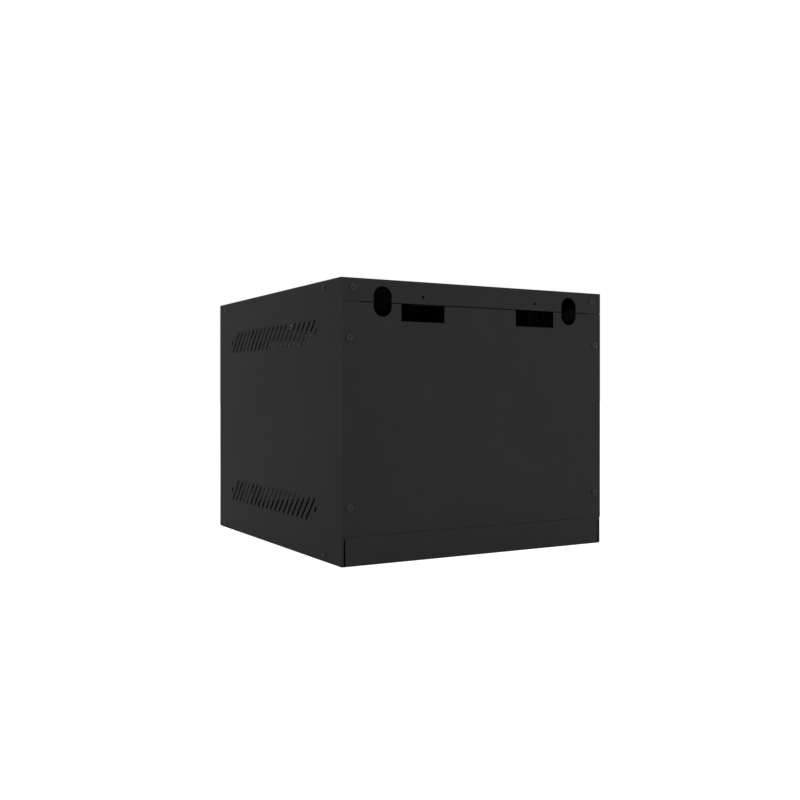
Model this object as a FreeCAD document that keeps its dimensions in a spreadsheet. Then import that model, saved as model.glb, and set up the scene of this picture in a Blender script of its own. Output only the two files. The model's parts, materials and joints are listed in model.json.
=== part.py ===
import FreeCAD, Part

import math
import os
import re

import Sketcher

# Wall mount network cabinet, nine rack units, millimetres.
# The door is at -Y, the wall side at +Y and +Z is up. The origin lies at the
# centre of the footprint, on the underside of the bottom panel.

V = FreeCAD.Vector
Turn = FreeCAD.Rotation

SIZES = {
    # outer shell
    "width": 600.0,
    "depth": 600.0,
    "skin": 1.2,             # shell sheet
    "seam": 0.4,             # hairline between two shell sheets
    "side_lift": 1.5,        # side panels stop this far above the base
    "hem": 10.0,             # folded front edge of every shell sheet
    "bend_radius": 1.0,      # outside of the folded edges
    "pan_flange": 25.0,      # side flanges of the top and bottom panels
    # rear face
    "strip_height": 40.8,    # rear flange of the top panel
    "strip_seam": 1.8,
    "tray_flange": 52.2,     # rear flange of the bottom panel
    "tray_seam": 0.6,
    "rear_lip": 35.0,        # rear flange of a side panel
    "corner_lip": 5.2,       # what is left of that flange at the foot
    "corner_gap": 3.1,
    "notch_height": 47.3,
    "return_lip": 12.0,
    "window_inset": 170.0,   # hook window, centre to the nearer side
    "window_width": 94.0,
    "window_height": 31.1,
    "cable_inset": 84.0,     # rear cable hole, centre to the nearer side
    "cable_drop": 39.4,
    "cable_width": 38.0,
    "cable_height": 55.0,
    "tie_drop": 27.9,        # locking hole above each hook window
    "tie_radius": 2.9,
    "hanger_over": 13.0,     # hanger plate past each end of its window
    "hanger_thick": 3.0,
    "hanger_clear": 8.0,     # hanger plate to the underside of the top sheet
    # rear screws
    "strip_screw_inset": 23.0,
    "strip_screw_drop": 17.3,
    "panel_screw_inset": 16.0,
    "panel_screw_rise": 104.0,
    "panel_screw_drop": 105.4,
    "head_radius": 7.2,
    "head_height": 3.2,
    "shank_radius": 2.9,
    "hole_clear": 0.15,      # radial clearance of every screw hole
    "nut_height": 4.0,
    "nut_flats": 10.0,
    "thread_over": 2.0,      # thread showing past a nut
    # side panel screws
    "side_screw_front": 36.0,
    "side_screw_rear": 67.8,
    "side_screw_rise": 12.0,
    "small_head_radius": 4.6,
    "small_head_height": 1.6,
    "small_shank_radius": 1.9,
    "small_nut_height": 3.0,
    "small_nut_flats": 7.0,
    # side vents
    "vent_inset": 90.5,      # middle of a vent band to the top or the base
    "vent_front": 100.0,     # first long slot to the front edge
    "vent_pitch": 20.94,
    "vent_count": 19,
    "vent_height": 47.0,
    "vent_short_height": 12.5,
    "vent_radius": 2.75,
    "vent_lean": 0.862,      # rearward run of a slot for each unit of rise
    # top panel openings
    "fan_inset": 190.0,      # fan position, centre to the nearer side
    "fan_back": 20.0,        # in front of the middle of the depth
    "fan_pitch": 105.0,
    "fan_hole_radius": 2.25,
    "fan_slot_length": 90.0,
    "fan_slot_width": 5.0,
    "fan_slot_pitch": 11.0,
    "fan_slot_count": 9,
    "entry_length": 260.0,   # cable entry in the top and bottom panels
    "entry_width": 60.0,
    "entry_inset": 80.0,     # centre to the rear face
    "cover_overlap": 15.0,
    # front frame and door
    "stop_width": 18.0,
    "stop_leg": 20.0,
    "stop_thick": 1.5,
    "seal_thick": 3.0,
    "seal_width": 10.0,
    "seal_edge": 3.0,        # seal to the inner edge of its stop
    "seal_gap": 1.5,
    "door_inset": 1.0,
    "door_gap": 2.5,
    "door_thick": 16.0,
    "door_skin": 1.2,
    "door_lip": 12.0,
    "door_stile": 52.0,
    "door_rail": 46.0,
    "glass_thick": 4.0,
    "glass_overlap": 10.0,
    "gasket_thick": 1.0,
    "gasket_clear": 2.0,     # gasket to the edge of the door window
    "clip_width": 14.0,
    "clip_foot": 10.0,
    "clip_tongue": 8.0,
    "clip_thick": 1.2,
    "clip_clear": 0.5,       # clip to the edge of the glass
    "stud_radius": 1.95,
    "stud_length": 6.5,
    # door pivots
    "pivot_side": 5.0,       # pivot axis to the hinged edge of the door
    "pivot_front": 4.5,      # pivot axis to the face of the door
    "pin_radius": 2.5,
    "pin_collar_radius": 4.5,
    "pin_reach": 13.0,
    "pin_fit": 0.08,
    "block_width": 14.0,
    "block_clear": 1.6,      # hinge block to the lip behind it
    "block_height": 14.0,
    "run_gap": 0.3,          # gap between parts that move past each other
    # cam lock
    "lock_clear": 3.3,       # lock nut to the edge of the glass
    "lock_flange": 4.2,
    "lock_flange_radius": 12.0,
    "lock_radius": 9.2,
    "plug_radius": 6.5,
    "plug_fit": 0.08,
    "cam_clear": 1.5,        # cam to the back of the stop
    "cam_thick": 2.5,
    "cam_width": 14.0,
    "cam_hold": 10.3,        # cam tip past the edge of the stop
    "lock_nut_height": 4.0,
    "lock_nut_flats": 22.0,
    "cam_screw_radius": 1.9,
    "cam_screw_head": 4.6,
    "cam_screw_length": 8.0,
    "key_slot_width": 1.6,
    "key_slot_height": 8.0,
    "key_slot_depth": 6.0,
    # rack rails and their carriers
    "unit_height": 44.45,
    "units": 9,
    "unit_margin": 54.475,   # rack units to the base, and to the top
    "hole_size": 9.5,
    "hole_half_pitch": 232.55,
    "rail_edge": 2.4,        # square hole to the inner edge of a rail face
    "rail_width": 24.7,
    "rail_sheet": 2.0,
    "rail_depth": 32.0,
    "rail_lip": 12.0,
    "rail_clear": 1.975,     # rail end to the pan flange beside it
    "bolt_end": 15.0,        # rail bolt to the end of the rail
    "front_rail_inset": 65.0,
    "rear_rail_inset": 135.0,
    "front_travel": 120.0,
    "rear_travel_in": 130.0,
    "rear_travel_out": 70.0,
    "carrier_sheet": 2.0,
    "carrier_height": 26.0,
    "carrier_clear": 3.5,    # carrier to the leg of the front post
    "carrier_rear": 30.0,
    "carrier_foot": 22.0,
    "bolt_radius": 3.0,
    "bolt_head_height": 4.0,
    # earth terminal
    "earth_across": 200.0,
    "earth_back": 200.0,
    "earth_radius": 3.0,
    "earth_length": 20.0,
    "washer_radius": 6.0,
    "washer_thick": 2.0,
}

# The cabinet is as tall as its rack units and the room above and below them.
DERIVED = {
    "height": "=units * unit_height + 2 * unit_margin",
}

doc = FreeCAD.newDocument("network_cabinet")
sheet = doc.addObject("Spreadsheet::Sheet", "Sizes")
for row, (alias, content) in enumerate({**SIZES, **DERIVED}.items(), start=1):
    sheet.set(f"A{row}", alias)
    sheet.set(f"B{row}", str(content))
    sheet.setAlias(f"B{row}", alias)
doc.recompute()

ALIASES = re.compile(r"\b(" + "|".join({**SIZES, **DERIVED}) + r")\b")

# Reference places, written with the names of the sheet.
HALF_W = "width / 2"
FRONT = "-depth / 2"
REAR = "depth / 2"
SIDE_IN = "(width / 2 - skin)"                       # inner face of a side panel
PAN_SIDE = "(width / 2 - skin - seam)"               # edge of the top and bottom sheets
PAN_FLANGE_IN = "(width / 2 - 2 * skin - seam)"
REAR_SHEET = "(depth / 2 - skin)"                    # inner face of the rear sheets
REAR_LIP_IN = "(depth / 2 - 2 * skin)"
CEILING = "(height - skin)"                          # underside of the top sheet
PANEL_TOP = "(height - strip_height - strip_seam)"
PANEL_FOOT = "(tray_flange + tray_seam)"

DOOR_HALF = "(width / 2 - 2 * skin - door_gap)"
DOOR_FOOT = "(2 * skin + door_gap)"
DOOR_HEAD = "(height - 2 * skin - door_gap)"
DOOR_FACE = "(-depth / 2 + door_inset)"
DOOR_BACK = "(-depth / 2 + door_inset + door_thick)"
DOOR_SHEET = "(-depth / 2 + door_inset + door_skin)"
GLASS_FRONT = f"({DOOR_SHEET} + gasket_thick)"
GLASS_BACK = f"({DOOR_SHEET} + gasket_thick + glass_thick)"
OPENING_HALF = f"({DOOR_HALF} - door_stile)"
OPENING_FOOT = f"({DOOR_FOOT} + door_rail)"
OPENING_HEAD = f"({DOOR_HEAD} - door_rail)"

STOP_FACE = f"({DOOR_BACK} + seal_gap + seal_thick)"
STOP_BACK = f"({STOP_FACE} + stop_thick)"
PIVOT_X = f"(pivot_side - {DOOR_HALF})"
PIVOT_Y = f"({DOOR_FACE} + pivot_front)"
LOCK_X = f"({OPENING_HALF} + glass_overlap + lock_clear + lock_nut_flats / sqrt(3))"
LOCK_Z = "(height / 2)"
CAM_FRONT = f"({STOP_BACK} + cam_clear)"
CAM_BACK = f"({STOP_BACK} + cam_clear + cam_thick)"
CAM_REACH = f"({SIDE_IN} - stop_width + cam_hold - {LOCK_X})"

ENTRY_Y = "(depth / 2 - entry_inset)"
# The three holes of a unit are 5/8 inch apart, and 1/2 inch from the next unit's.
HOLE_STEP = "(unit_height * 5 / 14)"
RAIL_FOOT = "(pan_flange + rail_clear)"
RAIL_HEAD = "(height - pan_flange - rail_clear)"
RAIL_INNER = "(hole_half_pitch - hole_size / 2 - rail_edge)"
RAIL_OUTER = f"({RAIL_INNER} + rail_width)"
FRONT_RAIL_FACE = "(front_rail_inset - depth / 2)"
REAR_RAIL_FACE = "(depth / 2 - rear_rail_inset)"
CARRIER_IN = f"({RAIL_OUTER} + run_gap)"
CARRIER_OUT = f"({RAIL_OUTER} + run_gap + carrier_sheet)"
CARRIER_FRONT = f"({STOP_FACE} + stop_leg + carrier_clear)"
CARRIER_REAR = "(depth / 2 - carrier_rear)"
LOWER_BOLT = f"({RAIL_FOOT} + bolt_end)"
UPPER_BOLT = f"({RAIL_HEAD} - bolt_end)"

AXIS_TURN = {
    "x": Turn(V(0, 1, 0), 90),
    "y": Turn(V(1, 0, 0), -90),
    "z": Turn(),
}

subparts = []


# ---------------------------------------------------------------- helpers

def linked(text):
    """The text with each alias pointing at its cell."""
    return ALIASES.sub(r"Sizes.\1", text)


def bind(thing, prop, text):
    thing.setExpression(prop, linked(text))


def value(text):
    return float(sheet.evalExpression(linked(text)))


def new_body(label):
    """A body that may hold several separate solids."""
    body = doc.addObject("PartDesign::Body", label)
    body.Label = label
    body.AllowCompound = True
    subparts.append(body)
    return body


def place(thing, x, y, z, prop="Placement.Base"):
    bind(thing, f"{prop}.x", x)
    bind(thing, f"{prop}.y", y)
    bind(thing, f"{prop}.z", z)


def block(body, name, x, y, z, cut=False):
    """A box between three pairs of coordinates."""
    kind = "PartDesign::SubtractiveBox" if cut else "PartDesign::AdditiveBox"
    box = body.newObject(kind, name)
    for prop, (low, high) in zip(("Length", "Width", "Height"), (x, y, z)):
        bind(box, prop, f"({high}) - ({low})")
    place(box, x[0], y[0], z[0])
    return box


def rod(body, name, axis, start, radius, length, cut=False):
    """A cylinder from start along an axis."""
    kind = "PartDesign::SubtractiveCylinder" if cut else "PartDesign::AdditiveCylinder"
    cylinder = body.newObject(kind, name)
    cylinder.Placement = FreeCAD.Placement(V(), AXIS_TURN[axis])
    bind(cylinder, "Radius", radius)
    bind(cylinder, "Height", length)
    place(cylinder, *start)
    return cylinder


def origin_feature(body, role):
    return [item for item in body.Origin.OriginFeatures if item.Role == role][0]


def new_sketch(body, name, plane, offset="0"):
    """A sketch on an origin plane of its own body, moved along the normal."""
    sketch = body.newObject("Sketcher::SketchObject", name)
    sketch.AttachmentSupport = [(origin_feature(body, plane), "")]
    sketch.MapMode = "FlatFace"
    bind(sketch, "AttachmentOffset.Base.z", offset)
    return sketch


def dimension(sketch, kind, geometry, text):
    """A driving dimension; geometry holds the arguments of the constraint."""
    index = sketch.addConstraint(Sketcher.Constraint(kind, *geometry, value(text)))
    bind(sketch, f"Constraints[{index}]", text)


def draw_rectangle(sketch, x, y):
    """A closed rectangle between two pairs of sketch coordinates."""
    first = sketch.GeometryCount
    left, right = value(x[0]), value(x[1])
    low, high = value(y[0]), value(y[1])
    corners = [V(left, low, 0), V(right, low, 0), V(right, high, 0), V(left, high, 0)]
    for index in range(4):
        sketch.addGeometry(Part.LineSegment(corners[index], corners[(index + 1) % 4]), False)
    for index in range(4):
        follower = first + (index + 1) % 4
        sketch.addConstraint(Sketcher.Constraint("Coincident", first + index, 2, follower, 1))
        direction = "Vertical" if index % 2 else "Horizontal"
        sketch.addConstraint(Sketcher.Constraint(direction, first + index))
    dimension(sketch, "DistanceX", (-1, 1, first, 1), x[0])
    dimension(sketch, "DistanceX", (-1, 1, first + 2, 1), x[1])
    dimension(sketch, "DistanceY", (-1, 1, first, 1), y[0])
    dimension(sketch, "DistanceY", (-1, 1, first + 2, 1), y[1])


def draw_obround(sketch, start, end, radius):
    """A round-ended slot between two centres."""
    first = sketch.GeometryCount
    begin = V(value(start[0]), value(start[1]), 0)
    finish = V(value(end[0]), value(end[1]), 0)
    round_radius = value(radius)
    angle = math.atan2(finish.y - begin.y, finish.x - begin.x)
    offset = V(-math.sin(angle), math.cos(angle), 0) * round_radius
    quarter = math.pi / 2
    normal = V(0, 0, 1)
    first_round = Part.Circle(begin, normal, round_radius)
    last_round = Part.Circle(finish, normal, round_radius)
    shapes = [
        Part.ArcOfCircle(first_round, angle + quarter, angle + 3 * quarter),
        Part.LineSegment(begin - offset, finish - offset),
        Part.ArcOfCircle(last_round, angle - quarter, angle + quarter),
        Part.LineSegment(finish + offset, begin + offset),
    ]
    for shape in shapes:
        sketch.addGeometry(shape, False)
    for index in range(4):
        follower = first + (index + 1) % 4
        sketch.addConstraint(Sketcher.Constraint("Tangent", first + index, 2, follower, 1))
    sketch.addConstraint(Sketcher.Constraint("Equal", first, first + 2))
    for arc, centre in ((first, start), (first + 2, end)):
        dimension(sketch, "DistanceX", (-1, 1, arc, 3), centre[0])
        dimension(sketch, "DistanceY", (-1, 1, arc, 3), centre[1])
    dimension(sketch, "Radius", (first,), radius)


def draw_hexagon(sketch, flats):
    """A regular hexagon about the sketch origin, with its size across flats."""
    first = sketch.GeometryCount
    reach = value(flats) / math.sqrt(3)
    corners = []
    for index in range(6):
        angle = math.radians(60 * index)
        corners.append(V(reach * math.cos(angle), reach * math.sin(angle), 0))
    for index in range(6):
        sketch.addGeometry(Part.LineSegment(corners[index], corners[(index + 1) % 6]), False)
    ring = sketch.addGeometry(Part.Circle(V(), V(0, 0, 1), reach), True)
    for index in range(6):
        follower = first + (index + 1) % 6
        sketch.addConstraint(Sketcher.Constraint("Coincident", first + index, 2, follower, 1))
        sketch.addConstraint(Sketcher.Constraint("PointOnObject", first + index, 1, ring))
        if index:
            sketch.addConstraint(Sketcher.Constraint("Equal", first, first + index))
    sketch.addConstraint(Sketcher.Constraint("Coincident", ring, 3, -1, 1))
    sketch.addConstraint(Sketcher.Constraint("PointOnObject", first, 1, -1))
    dimension(sketch, "Radius", (ring,), f"{flats} / sqrt(3)")


def pocket_both_ways(body, name, sketch, depth):
    """A pocket centred on its sketch, checked by the volume it takes away."""
    doc.recompute()
    before = body.Shape.Volume
    pocket = body.newObject("PartDesign::Pocket", name)
    pocket.Profile = sketch
    pocket.SideType = "Symmetric"
    bind(pocket, "Length", depth)
    sketch.Visibility = False
    doc.recompute()
    if not body.Shape.Volume < before:
        raise RuntimeError(f"{body.Label}: {name} takes nothing away")
    return pocket


def round_bends(body, wall, edges):
    """Rounds the folded edges, each given by the places it lies at.

    The radius stays below the thickness of the wall that is folded.
    """
    doc.recompute()
    base = body.Tip
    names = []
    for places in edges:
        wanted = {axis: value(text) for axis, text in places.items()}
        for number, edge in enumerate(base.Shape.Edges, start=1):
            box = edge.BoundBox
            ends = {"x": (box.XMin, box.XMax), "y": (box.YMin, box.YMax), "z": (box.ZMin, box.ZMax)}
            if all(abs(end - wanted[axis]) < 1e-4 for axis in wanted for end in ends[axis]):
                names.append(f"Edge{number}")
    if len(names) < len(edges):
        raise RuntimeError(f"{body.Label}: a folded edge is missing")
    fillet = body.newObject("PartDesign::Fillet", "bends")
    fillet.Base = (base, names)
    bind(fillet, "Radius", f"min(bend_radius; 0.9 * {wall})")


def row_of(body, name, feature, axis, length, count, second=None):
    """Copies of one feature along an origin axis, or along two of them."""
    pattern = body.newObject("PartDesign::LinearPattern", name)
    pattern.Originals = [feature]
    pattern.Direction = (origin_feature(body, axis), [""])
    bind(pattern, "Length", length)
    bind(pattern, "Occurrences", count)
    if second:
        pattern.Direction2 = (origin_feature(body, second[0]), [""])
        bind(pattern, "Length2", second[1])
        bind(pattern, "Occurrences2", second[2])
    body.Tip = pattern
    return pattern


def copies_of_body(body, first, second=None):
    """Separate copies of all that the body holds so far."""
    doc.recompute()
    pattern = body.newObject("PartDesign::LinearPattern", "copies")
    pattern.TransformMode = "Whole shape"
    pattern.Direction = (origin_feature(body, first[0]), [""])
    bind(pattern, "Length", first[1])
    pattern.Occurrences = 2
    if second:
        pattern.Direction2 = (origin_feature(body, second[0]), [""])
        bind(pattern, "Length2", second[1])
        pattern.Occurrences2 = 2
    body.Tip = pattern


def across(side, low, high):
    """An interval along X on the right (+1), or its mirror on the left (-1)."""
    return (low, high) if side > 0 else (f"-({high})", f"-({low})")


def mirrored(side, text):
    return text if side > 0 else f"-({text})"


def side_name(side):
    return "right" if side > 0 else "left"


# ---------------------------------------------------------------- shell

def side_panel(side):
    """Folded side sheet with two vent bands, a rear flange and a front hem."""
    body = new_body(f"side_panel_{side_name(side)}")
    plate_y = (FRONT, f"{REAR_SHEET} - seam")
    block(body, "plate", across(side, SIDE_IN, HALF_W), plate_y, ("side_lift", "height"))
    flange_x = across(side, "width / 2 - rear_lip", f"{SIDE_IN} + skin / 2")
    corner_x = across(side, "width / 2 - corner_lip", HALF_W)
    lip_y = (REAR_LIP_IN, REAR_SHEET)
    block(body, "rear_flange", flange_x, lip_y, ("notch_height", f"{CEILING} - seam"))
    block(body, "rear_corner", corner_x, lip_y, ("skin + seam", f"{CEILING} - seam"))
    hem_x = across(side, "width / 2 - 2 * skin", SIDE_IN)
    block(body, "front_hem", hem_x, (FRONT, "hem - depth / 2"), ("skin + seam", f"{CEILING} - seam"))
    side_x = f"{SIDE_IN} - skin" if side > 0 else f"-({HALF_W} + skin)"
    bore = "small_shank_radius + hole_clear"
    for number, (y, z) in enumerate(side_screw_places()):
        rod(body, f"side_hole_{number}", "x", (side_x, y, z), bore, "3 * skin", cut=True)
    for number, (inset, z) in enumerate(rear_screw_places()):
        start = (mirrored(side, f"({HALF_W} - {inset})"), f"{REAR_LIP_IN} - skin", z)
        rod(body, f"rear_hole_{number}", "y", start, "shank_radius + hole_clear", "3 * skin", cut=True)
    vent_bands(body, side)


def vent_bands(body, side):
    """Two rows of slanted slots with a short slot at each end."""
    rise = "((vent_height / 2) - vent_radius)"
    short_rise = "((vent_short_height / 2) - vent_radius)"
    bands = ("vent_inset", "(height - vent_inset)")
    first_y = "(vent_front - depth / 2)"
    last_y = f"({first_y} + vent_pitch * (vent_count - 1))"
    long_slots = new_sketch(body, "vent_sketch", "YZ_Plane", mirrored(side, HALF_W))
    short_slots = new_sketch(body, "vent_end_sketch", "YZ_Plane", mirrored(side, HALF_W))
    for middle in bands:
        draw_obround(
            long_slots,
            (f"{first_y} - vent_lean * {rise}", f"{middle} - {rise}"),
            (f"{first_y} + vent_lean * {rise}", f"{middle} + {rise}"),
            "vent_radius",
        )
        for centre in (f"({first_y} - vent_pitch)", f"({last_y} + vent_pitch)"):
            draw_obround(
                short_slots,
                (f"{centre} - vent_lean * {short_rise}", f"{middle} - {short_rise}"),
                (f"{centre} + vent_lean * {short_rise}", f"{middle} + {short_rise}"),
                "vent_radius",
            )
    pocket_both_ways(body, "vent_ends", short_slots, "4 * skin")
    slot = pocket_both_ways(body, "vent_slot", long_slots, "4 * skin")
    row_of(body, "vent_row", slot, "Y_Axis", "vent_pitch * (vent_count - 1)", "vent_count")


def side_screw_places():
    """Y and Z of the four screws of one side panel."""
    rows = ("side_screw_rise", "(height - side_screw_rise)")
    columns = ("(side_screw_front - depth / 2)", "(depth / 2 - side_screw_rear)")
    return [(y, z) for z in rows for y in columns]


def rear_screw_places():
    """Inset from the side and Z of the three rear screws of one side."""
    return [
        ("strip_screw_inset", "(height - strip_screw_drop)"),
        ("panel_screw_inset", "(height - panel_screw_drop)"),
        ("panel_screw_inset", "panel_screw_rise"),
    ]


def pan_sides(body, low, high):
    """The two side flanges of the top or bottom panel, with their screw holes."""
    for side in (-1, 1):
        flange_x = across(side, PAN_FLANGE_IN, PAN_SIDE)
        flange_y = ("hem + seam - depth / 2", f"{REAR_LIP_IN} - seam")
        block(body, f"flange_{side_name(side)}", flange_x, flange_y, (low, high))


def pan_side_holes(body, z):
    columns = ("(side_screw_front - depth / 2)", "(depth / 2 - side_screw_rear)")
    for side in (-1, 1):
        for number, y in enumerate(columns):
            x = f"{PAN_FLANGE_IN} - skin" if side > 0 else f"-({PAN_SIDE} + skin)"
            name = f"screw_hole_{side_name(side)}_{number}"
            rod(body, name, "x", (x, y, z), "small_shank_radius + hole_clear", "3 * skin", cut=True)


def cable_entry(body, z):
    """Rectangular cable entry with a screw hole beyond each corner."""
    sketch = new_sketch(body, "entry_sketch", "XY_Plane", z)
    draw_rectangle(
        sketch,
        ("-entry_length / 2", "entry_length / 2"),
        (f"{ENTRY_Y} - entry_width / 2", f"{ENTRY_Y} + entry_width / 2"),
    )
    pocket_both_ways(body, "cable_entry", sketch, "4 * skin")
    bore = "small_shank_radius + hole_clear"
    for number, (x, y) in enumerate(cover_screw_places()):
        start = (x, y, f"{z} - 2 * skin")
        rod(body, f"cover_hole_{number}", "z", start, bore, "4 * skin", cut=True)


def cover_screw_places():
    across_x = "(entry_length / 2 + cover_overlap / 2)"
    across_y = "(entry_width / 2 + cover_overlap / 2)"
    return [
        (f"{x_sign}{across_x}", f"{ENTRY_Y} {y_sign} {across_y}")
        for x_sign in ("", "-")
        for y_sign in ("+", "-")
    ]


def cable_holes(body):
    """Both rear cable holes, cut in whichever rear sheet this is."""
    sketch = new_sketch(body, "cable_hole_sketch", "XZ_Plane", f"-({REAR} - skin / 2)")
    half = "(cable_height / 2 - cable_width / 2)"
    for side in (-1, 1):
        x = mirrored(side, f"({HALF_W} - cable_inset)")
        middle = "(height - cable_drop)"
        draw_obround(sketch, (x, f"{middle} - {half}"), (x, f"{middle} + {half}"), "cable_width / 2")
    pocket_both_ways(body, "cable_holes", sketch, "3 * skin")


def top_panel():
    """Top sheet with its rear strip, side flanges, fan vents and cable entry."""
    body = new_body("top_panel")
    block(body, "sheet", (f"-{PAN_SIDE}", PAN_SIDE), (FRONT, REAR), (CEILING, "height"))
    strip_z = ("height - strip_height", "height")
    block(body, "rear_strip", (f"-{HALF_W}", HALF_W), (REAR_SHEET, REAR), strip_z)
    hem_x = (f"-{PAN_FLANGE_IN}", PAN_FLANGE_IN)
    block(body, "front_hem", hem_x, (FRONT, "hem - depth / 2"), ("height - 2 * skin", CEILING))
    pan_sides(body, "height - pan_flange", f"{CEILING} + skin / 2")
    round_bends(body, "skin", [{"y": REAR, "z": "height"}])
    pan_side_holes(body, "height - side_screw_rise")
    cable_entry(body, "height - skin / 2")
    cable_holes(body)
    before_strip = f"{REAR_SHEET} - skin"
    for side in (-1, 1):
        tie = (mirrored(side, f"({HALF_W} - window_inset)"), before_strip, "height - tie_drop")
        rod(body, f"tie_hole_{side_name(side)}", "y", tie, "tie_radius", "3 * skin", cut=True)
        inset, z = rear_screw_places()[0]
        screw_start = (mirrored(side, f"({HALF_W} - {inset})"), before_strip, z)
        name = f"strip_hole_{side_name(side)}"
        rod(body, name, "y", screw_start, "shank_radius + hole_clear", "3 * skin", cut=True)
    fan_positions(body)


def fan_positions(body):
    """Two slotted vents with the four screw holes of a fan around each."""
    corners = (("+", "+"), ("+", "-"), ("-", "+"), ("-", "-"))
    for side in (-1, 1):
        x = mirrored(side, f"({HALF_W} - fan_inset)")
        for number, (x_sign, y_sign) in enumerate(corners):
            hole_x = f"{x} {x_sign} fan_pitch / 2"
            hole_y = f"-fan_back {y_sign} fan_pitch / 2"
            start = (hole_x, hole_y, f"{CEILING} - skin")
            name = f"fan_hole_{side_name(side)}_{number}"
            rod(body, name, "z", start, "fan_hole_radius", "3 * skin", cut=True)
    slots = new_sketch(body, "fan_slot_sketch", "XY_Plane", "height - skin / 2")
    first_y = "(-fan_back - fan_slot_pitch * (fan_slot_count - 1) / 2)"
    half = "(fan_slot_length / 2 - fan_slot_width / 2)"
    for side in (-1, 1):
        x = mirrored(side, f"({HALF_W} - fan_inset)")
        ends = ((f"{x} - {half}", first_y), (f"{x} + {half}", first_y))
        draw_obround(slots, *ends, "fan_slot_width / 2")
    slot = pocket_both_ways(body, "fan_slot", slots, "4 * skin")
    row_of(body, "fan_slots", slot, "Y_Axis", "fan_slot_pitch * (fan_slot_count - 1)", "fan_slot_count")


def bottom_panel():
    """Floor sheet with its rear flange, side flanges and cable entry."""
    body = new_body("bottom_panel")
    block(body, "sheet", (f"-{PAN_SIDE}", PAN_SIDE), (FRONT, REAR), ("0", "skin"))
    flange_half = "(width / 2 - corner_lip - corner_gap)"
    flange_x = (f"-{flange_half}", flange_half)
    block(body, "rear_flange", flange_x, (REAR_SHEET, REAR), ("0", "tray_flange"))
    hem_x = (f"-{PAN_FLANGE_IN}", PAN_FLANGE_IN)
    block(body, "front_hem", hem_x, (FRONT, "hem - depth / 2"), ("skin", "2 * skin"))
    pan_sides(body, "skin / 2", "pan_flange")
    round_bends(body, "skin", [{"y": REAR, "z": "0"}])
    pan_side_holes(body, "side_screw_rise")
    cable_entry(body, "skin / 2")


def rear_panel():
    """Back sheet between the strip and the floor, notched for the wall hooks."""
    body = new_body("rear_panel")
    block(body, "sheet", (f"-{HALF_W}", HALF_W), (REAR_SHEET, REAR), (PANEL_FOOT, PANEL_TOP))
    lip_half = "(width / 2 - rear_lip - seam)"
    lip_y = (f"{REAR_SHEET} - return_lip", REAR_SHEET)
    block(body, "foot_return", (f"-{lip_half}", lip_half), lip_y, (PANEL_FOOT, f"{PANEL_FOOT} + skin"))
    windows = new_sketch(body, "window_sketch", "XZ_Plane", f"-({REAR} - skin / 2)")
    for side in (-1, 1):
        middle = mirrored(side, f"({HALF_W} - window_inset)")
        draw_rectangle(
            windows,
            (f"{middle} - window_width / 2", f"{middle} + window_width / 2"),
            (f"{PANEL_TOP} - window_height", f"{PANEL_TOP} + strip_seam"),
        )
    pocket_both_ways(body, "hook_windows", windows, "3 * skin")
    cable_holes(body)
    for side in (-1, 1):
        for number, (inset, z) in enumerate(rear_screw_places()[1:]):
            start = (mirrored(side, f"({HALF_W} - {inset})"), f"{REAR_SHEET} - skin", z)
            name = f"screw_hole_{side_name(side)}_{number}"
            rod(body, name, "y", start, "shank_radius + hole_clear", "3 * skin", cut=True)


def hanger_plate(side):
    """Thick plate behind the strip whose lower edge rests on a wall hook."""
    body = new_body(f"hanger_plate_{side_name(side)}")
    middle = mirrored(side, f"({HALF_W} - window_inset)")
    half = "(window_width / 2 + hanger_over)"
    plate_x = (f"{middle} - {half}", f"{middle} + {half}")
    plate_y = (f"{REAR_SHEET} - hanger_thick", REAR_SHEET)
    block(body, "plate", plate_x, plate_y, ("height - strip_height", f"{CEILING} - hanger_clear"))
    start = (middle, f"{REAR_SHEET} - 2 * hanger_thick", "height - tie_drop")
    rod(body, "tie_hole", "y", start, "tie_radius", "3 * hanger_thick", cut=True)


def entry_cover(label, low, high):
    """Plate that closes a cable entry from inside."""
    body = new_body(label)
    half_x = "(entry_length / 2 + cover_overlap)"
    half_y = "(entry_width / 2 + cover_overlap)"
    plate_y = (f"{ENTRY_Y} - {half_y}", f"{ENTRY_Y} + {half_y}")
    block(body, "plate", (f"-{half_x}", half_x), plate_y, (low, high))
    bore = "small_shank_radius + hole_clear"
    for number, (x, y) in enumerate(cover_screw_places()):
        rod(body, f"hole_{number}", "z", (x, y, f"{low} - skin"), bore, "3 * skin", cut=True)


# ---------------------------------------------------------------- fasteners

def screw(body, head_radius, head_height, shank_radius, shank_length):
    """Truss-head cross-recessed screw: head above z = 0, shank below it."""
    head = rod(body, "head", "z", ("0", "0", "0"), head_radius, head_height)
    doc.recompute()
    rim = [
        f"Edge{number}"
        for number, edge in enumerate(head.Shape.Edges, start=1)
        if len(edge.Vertexes) == 1 and edge.BoundBox.ZMin > value(head_height) / 2
    ]
    dome = body.newObject("PartDesign::Fillet", "dome")
    dome.Base = (head, rim)
    bind(dome, "Radius", f"{head_height} * 0.8")
    arm = f"({head_radius} * 0.42)"
    half = f"({head_radius} * 0.09)"
    recess = (f"{head_height} * 0.45", f"{head_height} * 1.2")
    block(body, "recess_along", (f"-{arm}", arm), (f"-{half}", half), recess, cut=True)
    block(body, "recess_across", (f"-{half}", half), (f"-{arm}", arm), recess, cut=True)
    shank_start = ("0", "0", f"-({shank_length})")
    rod(body, "shank", "z", shank_start, shank_radius, f"{shank_length} + {head_height} * 0.3")


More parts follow.
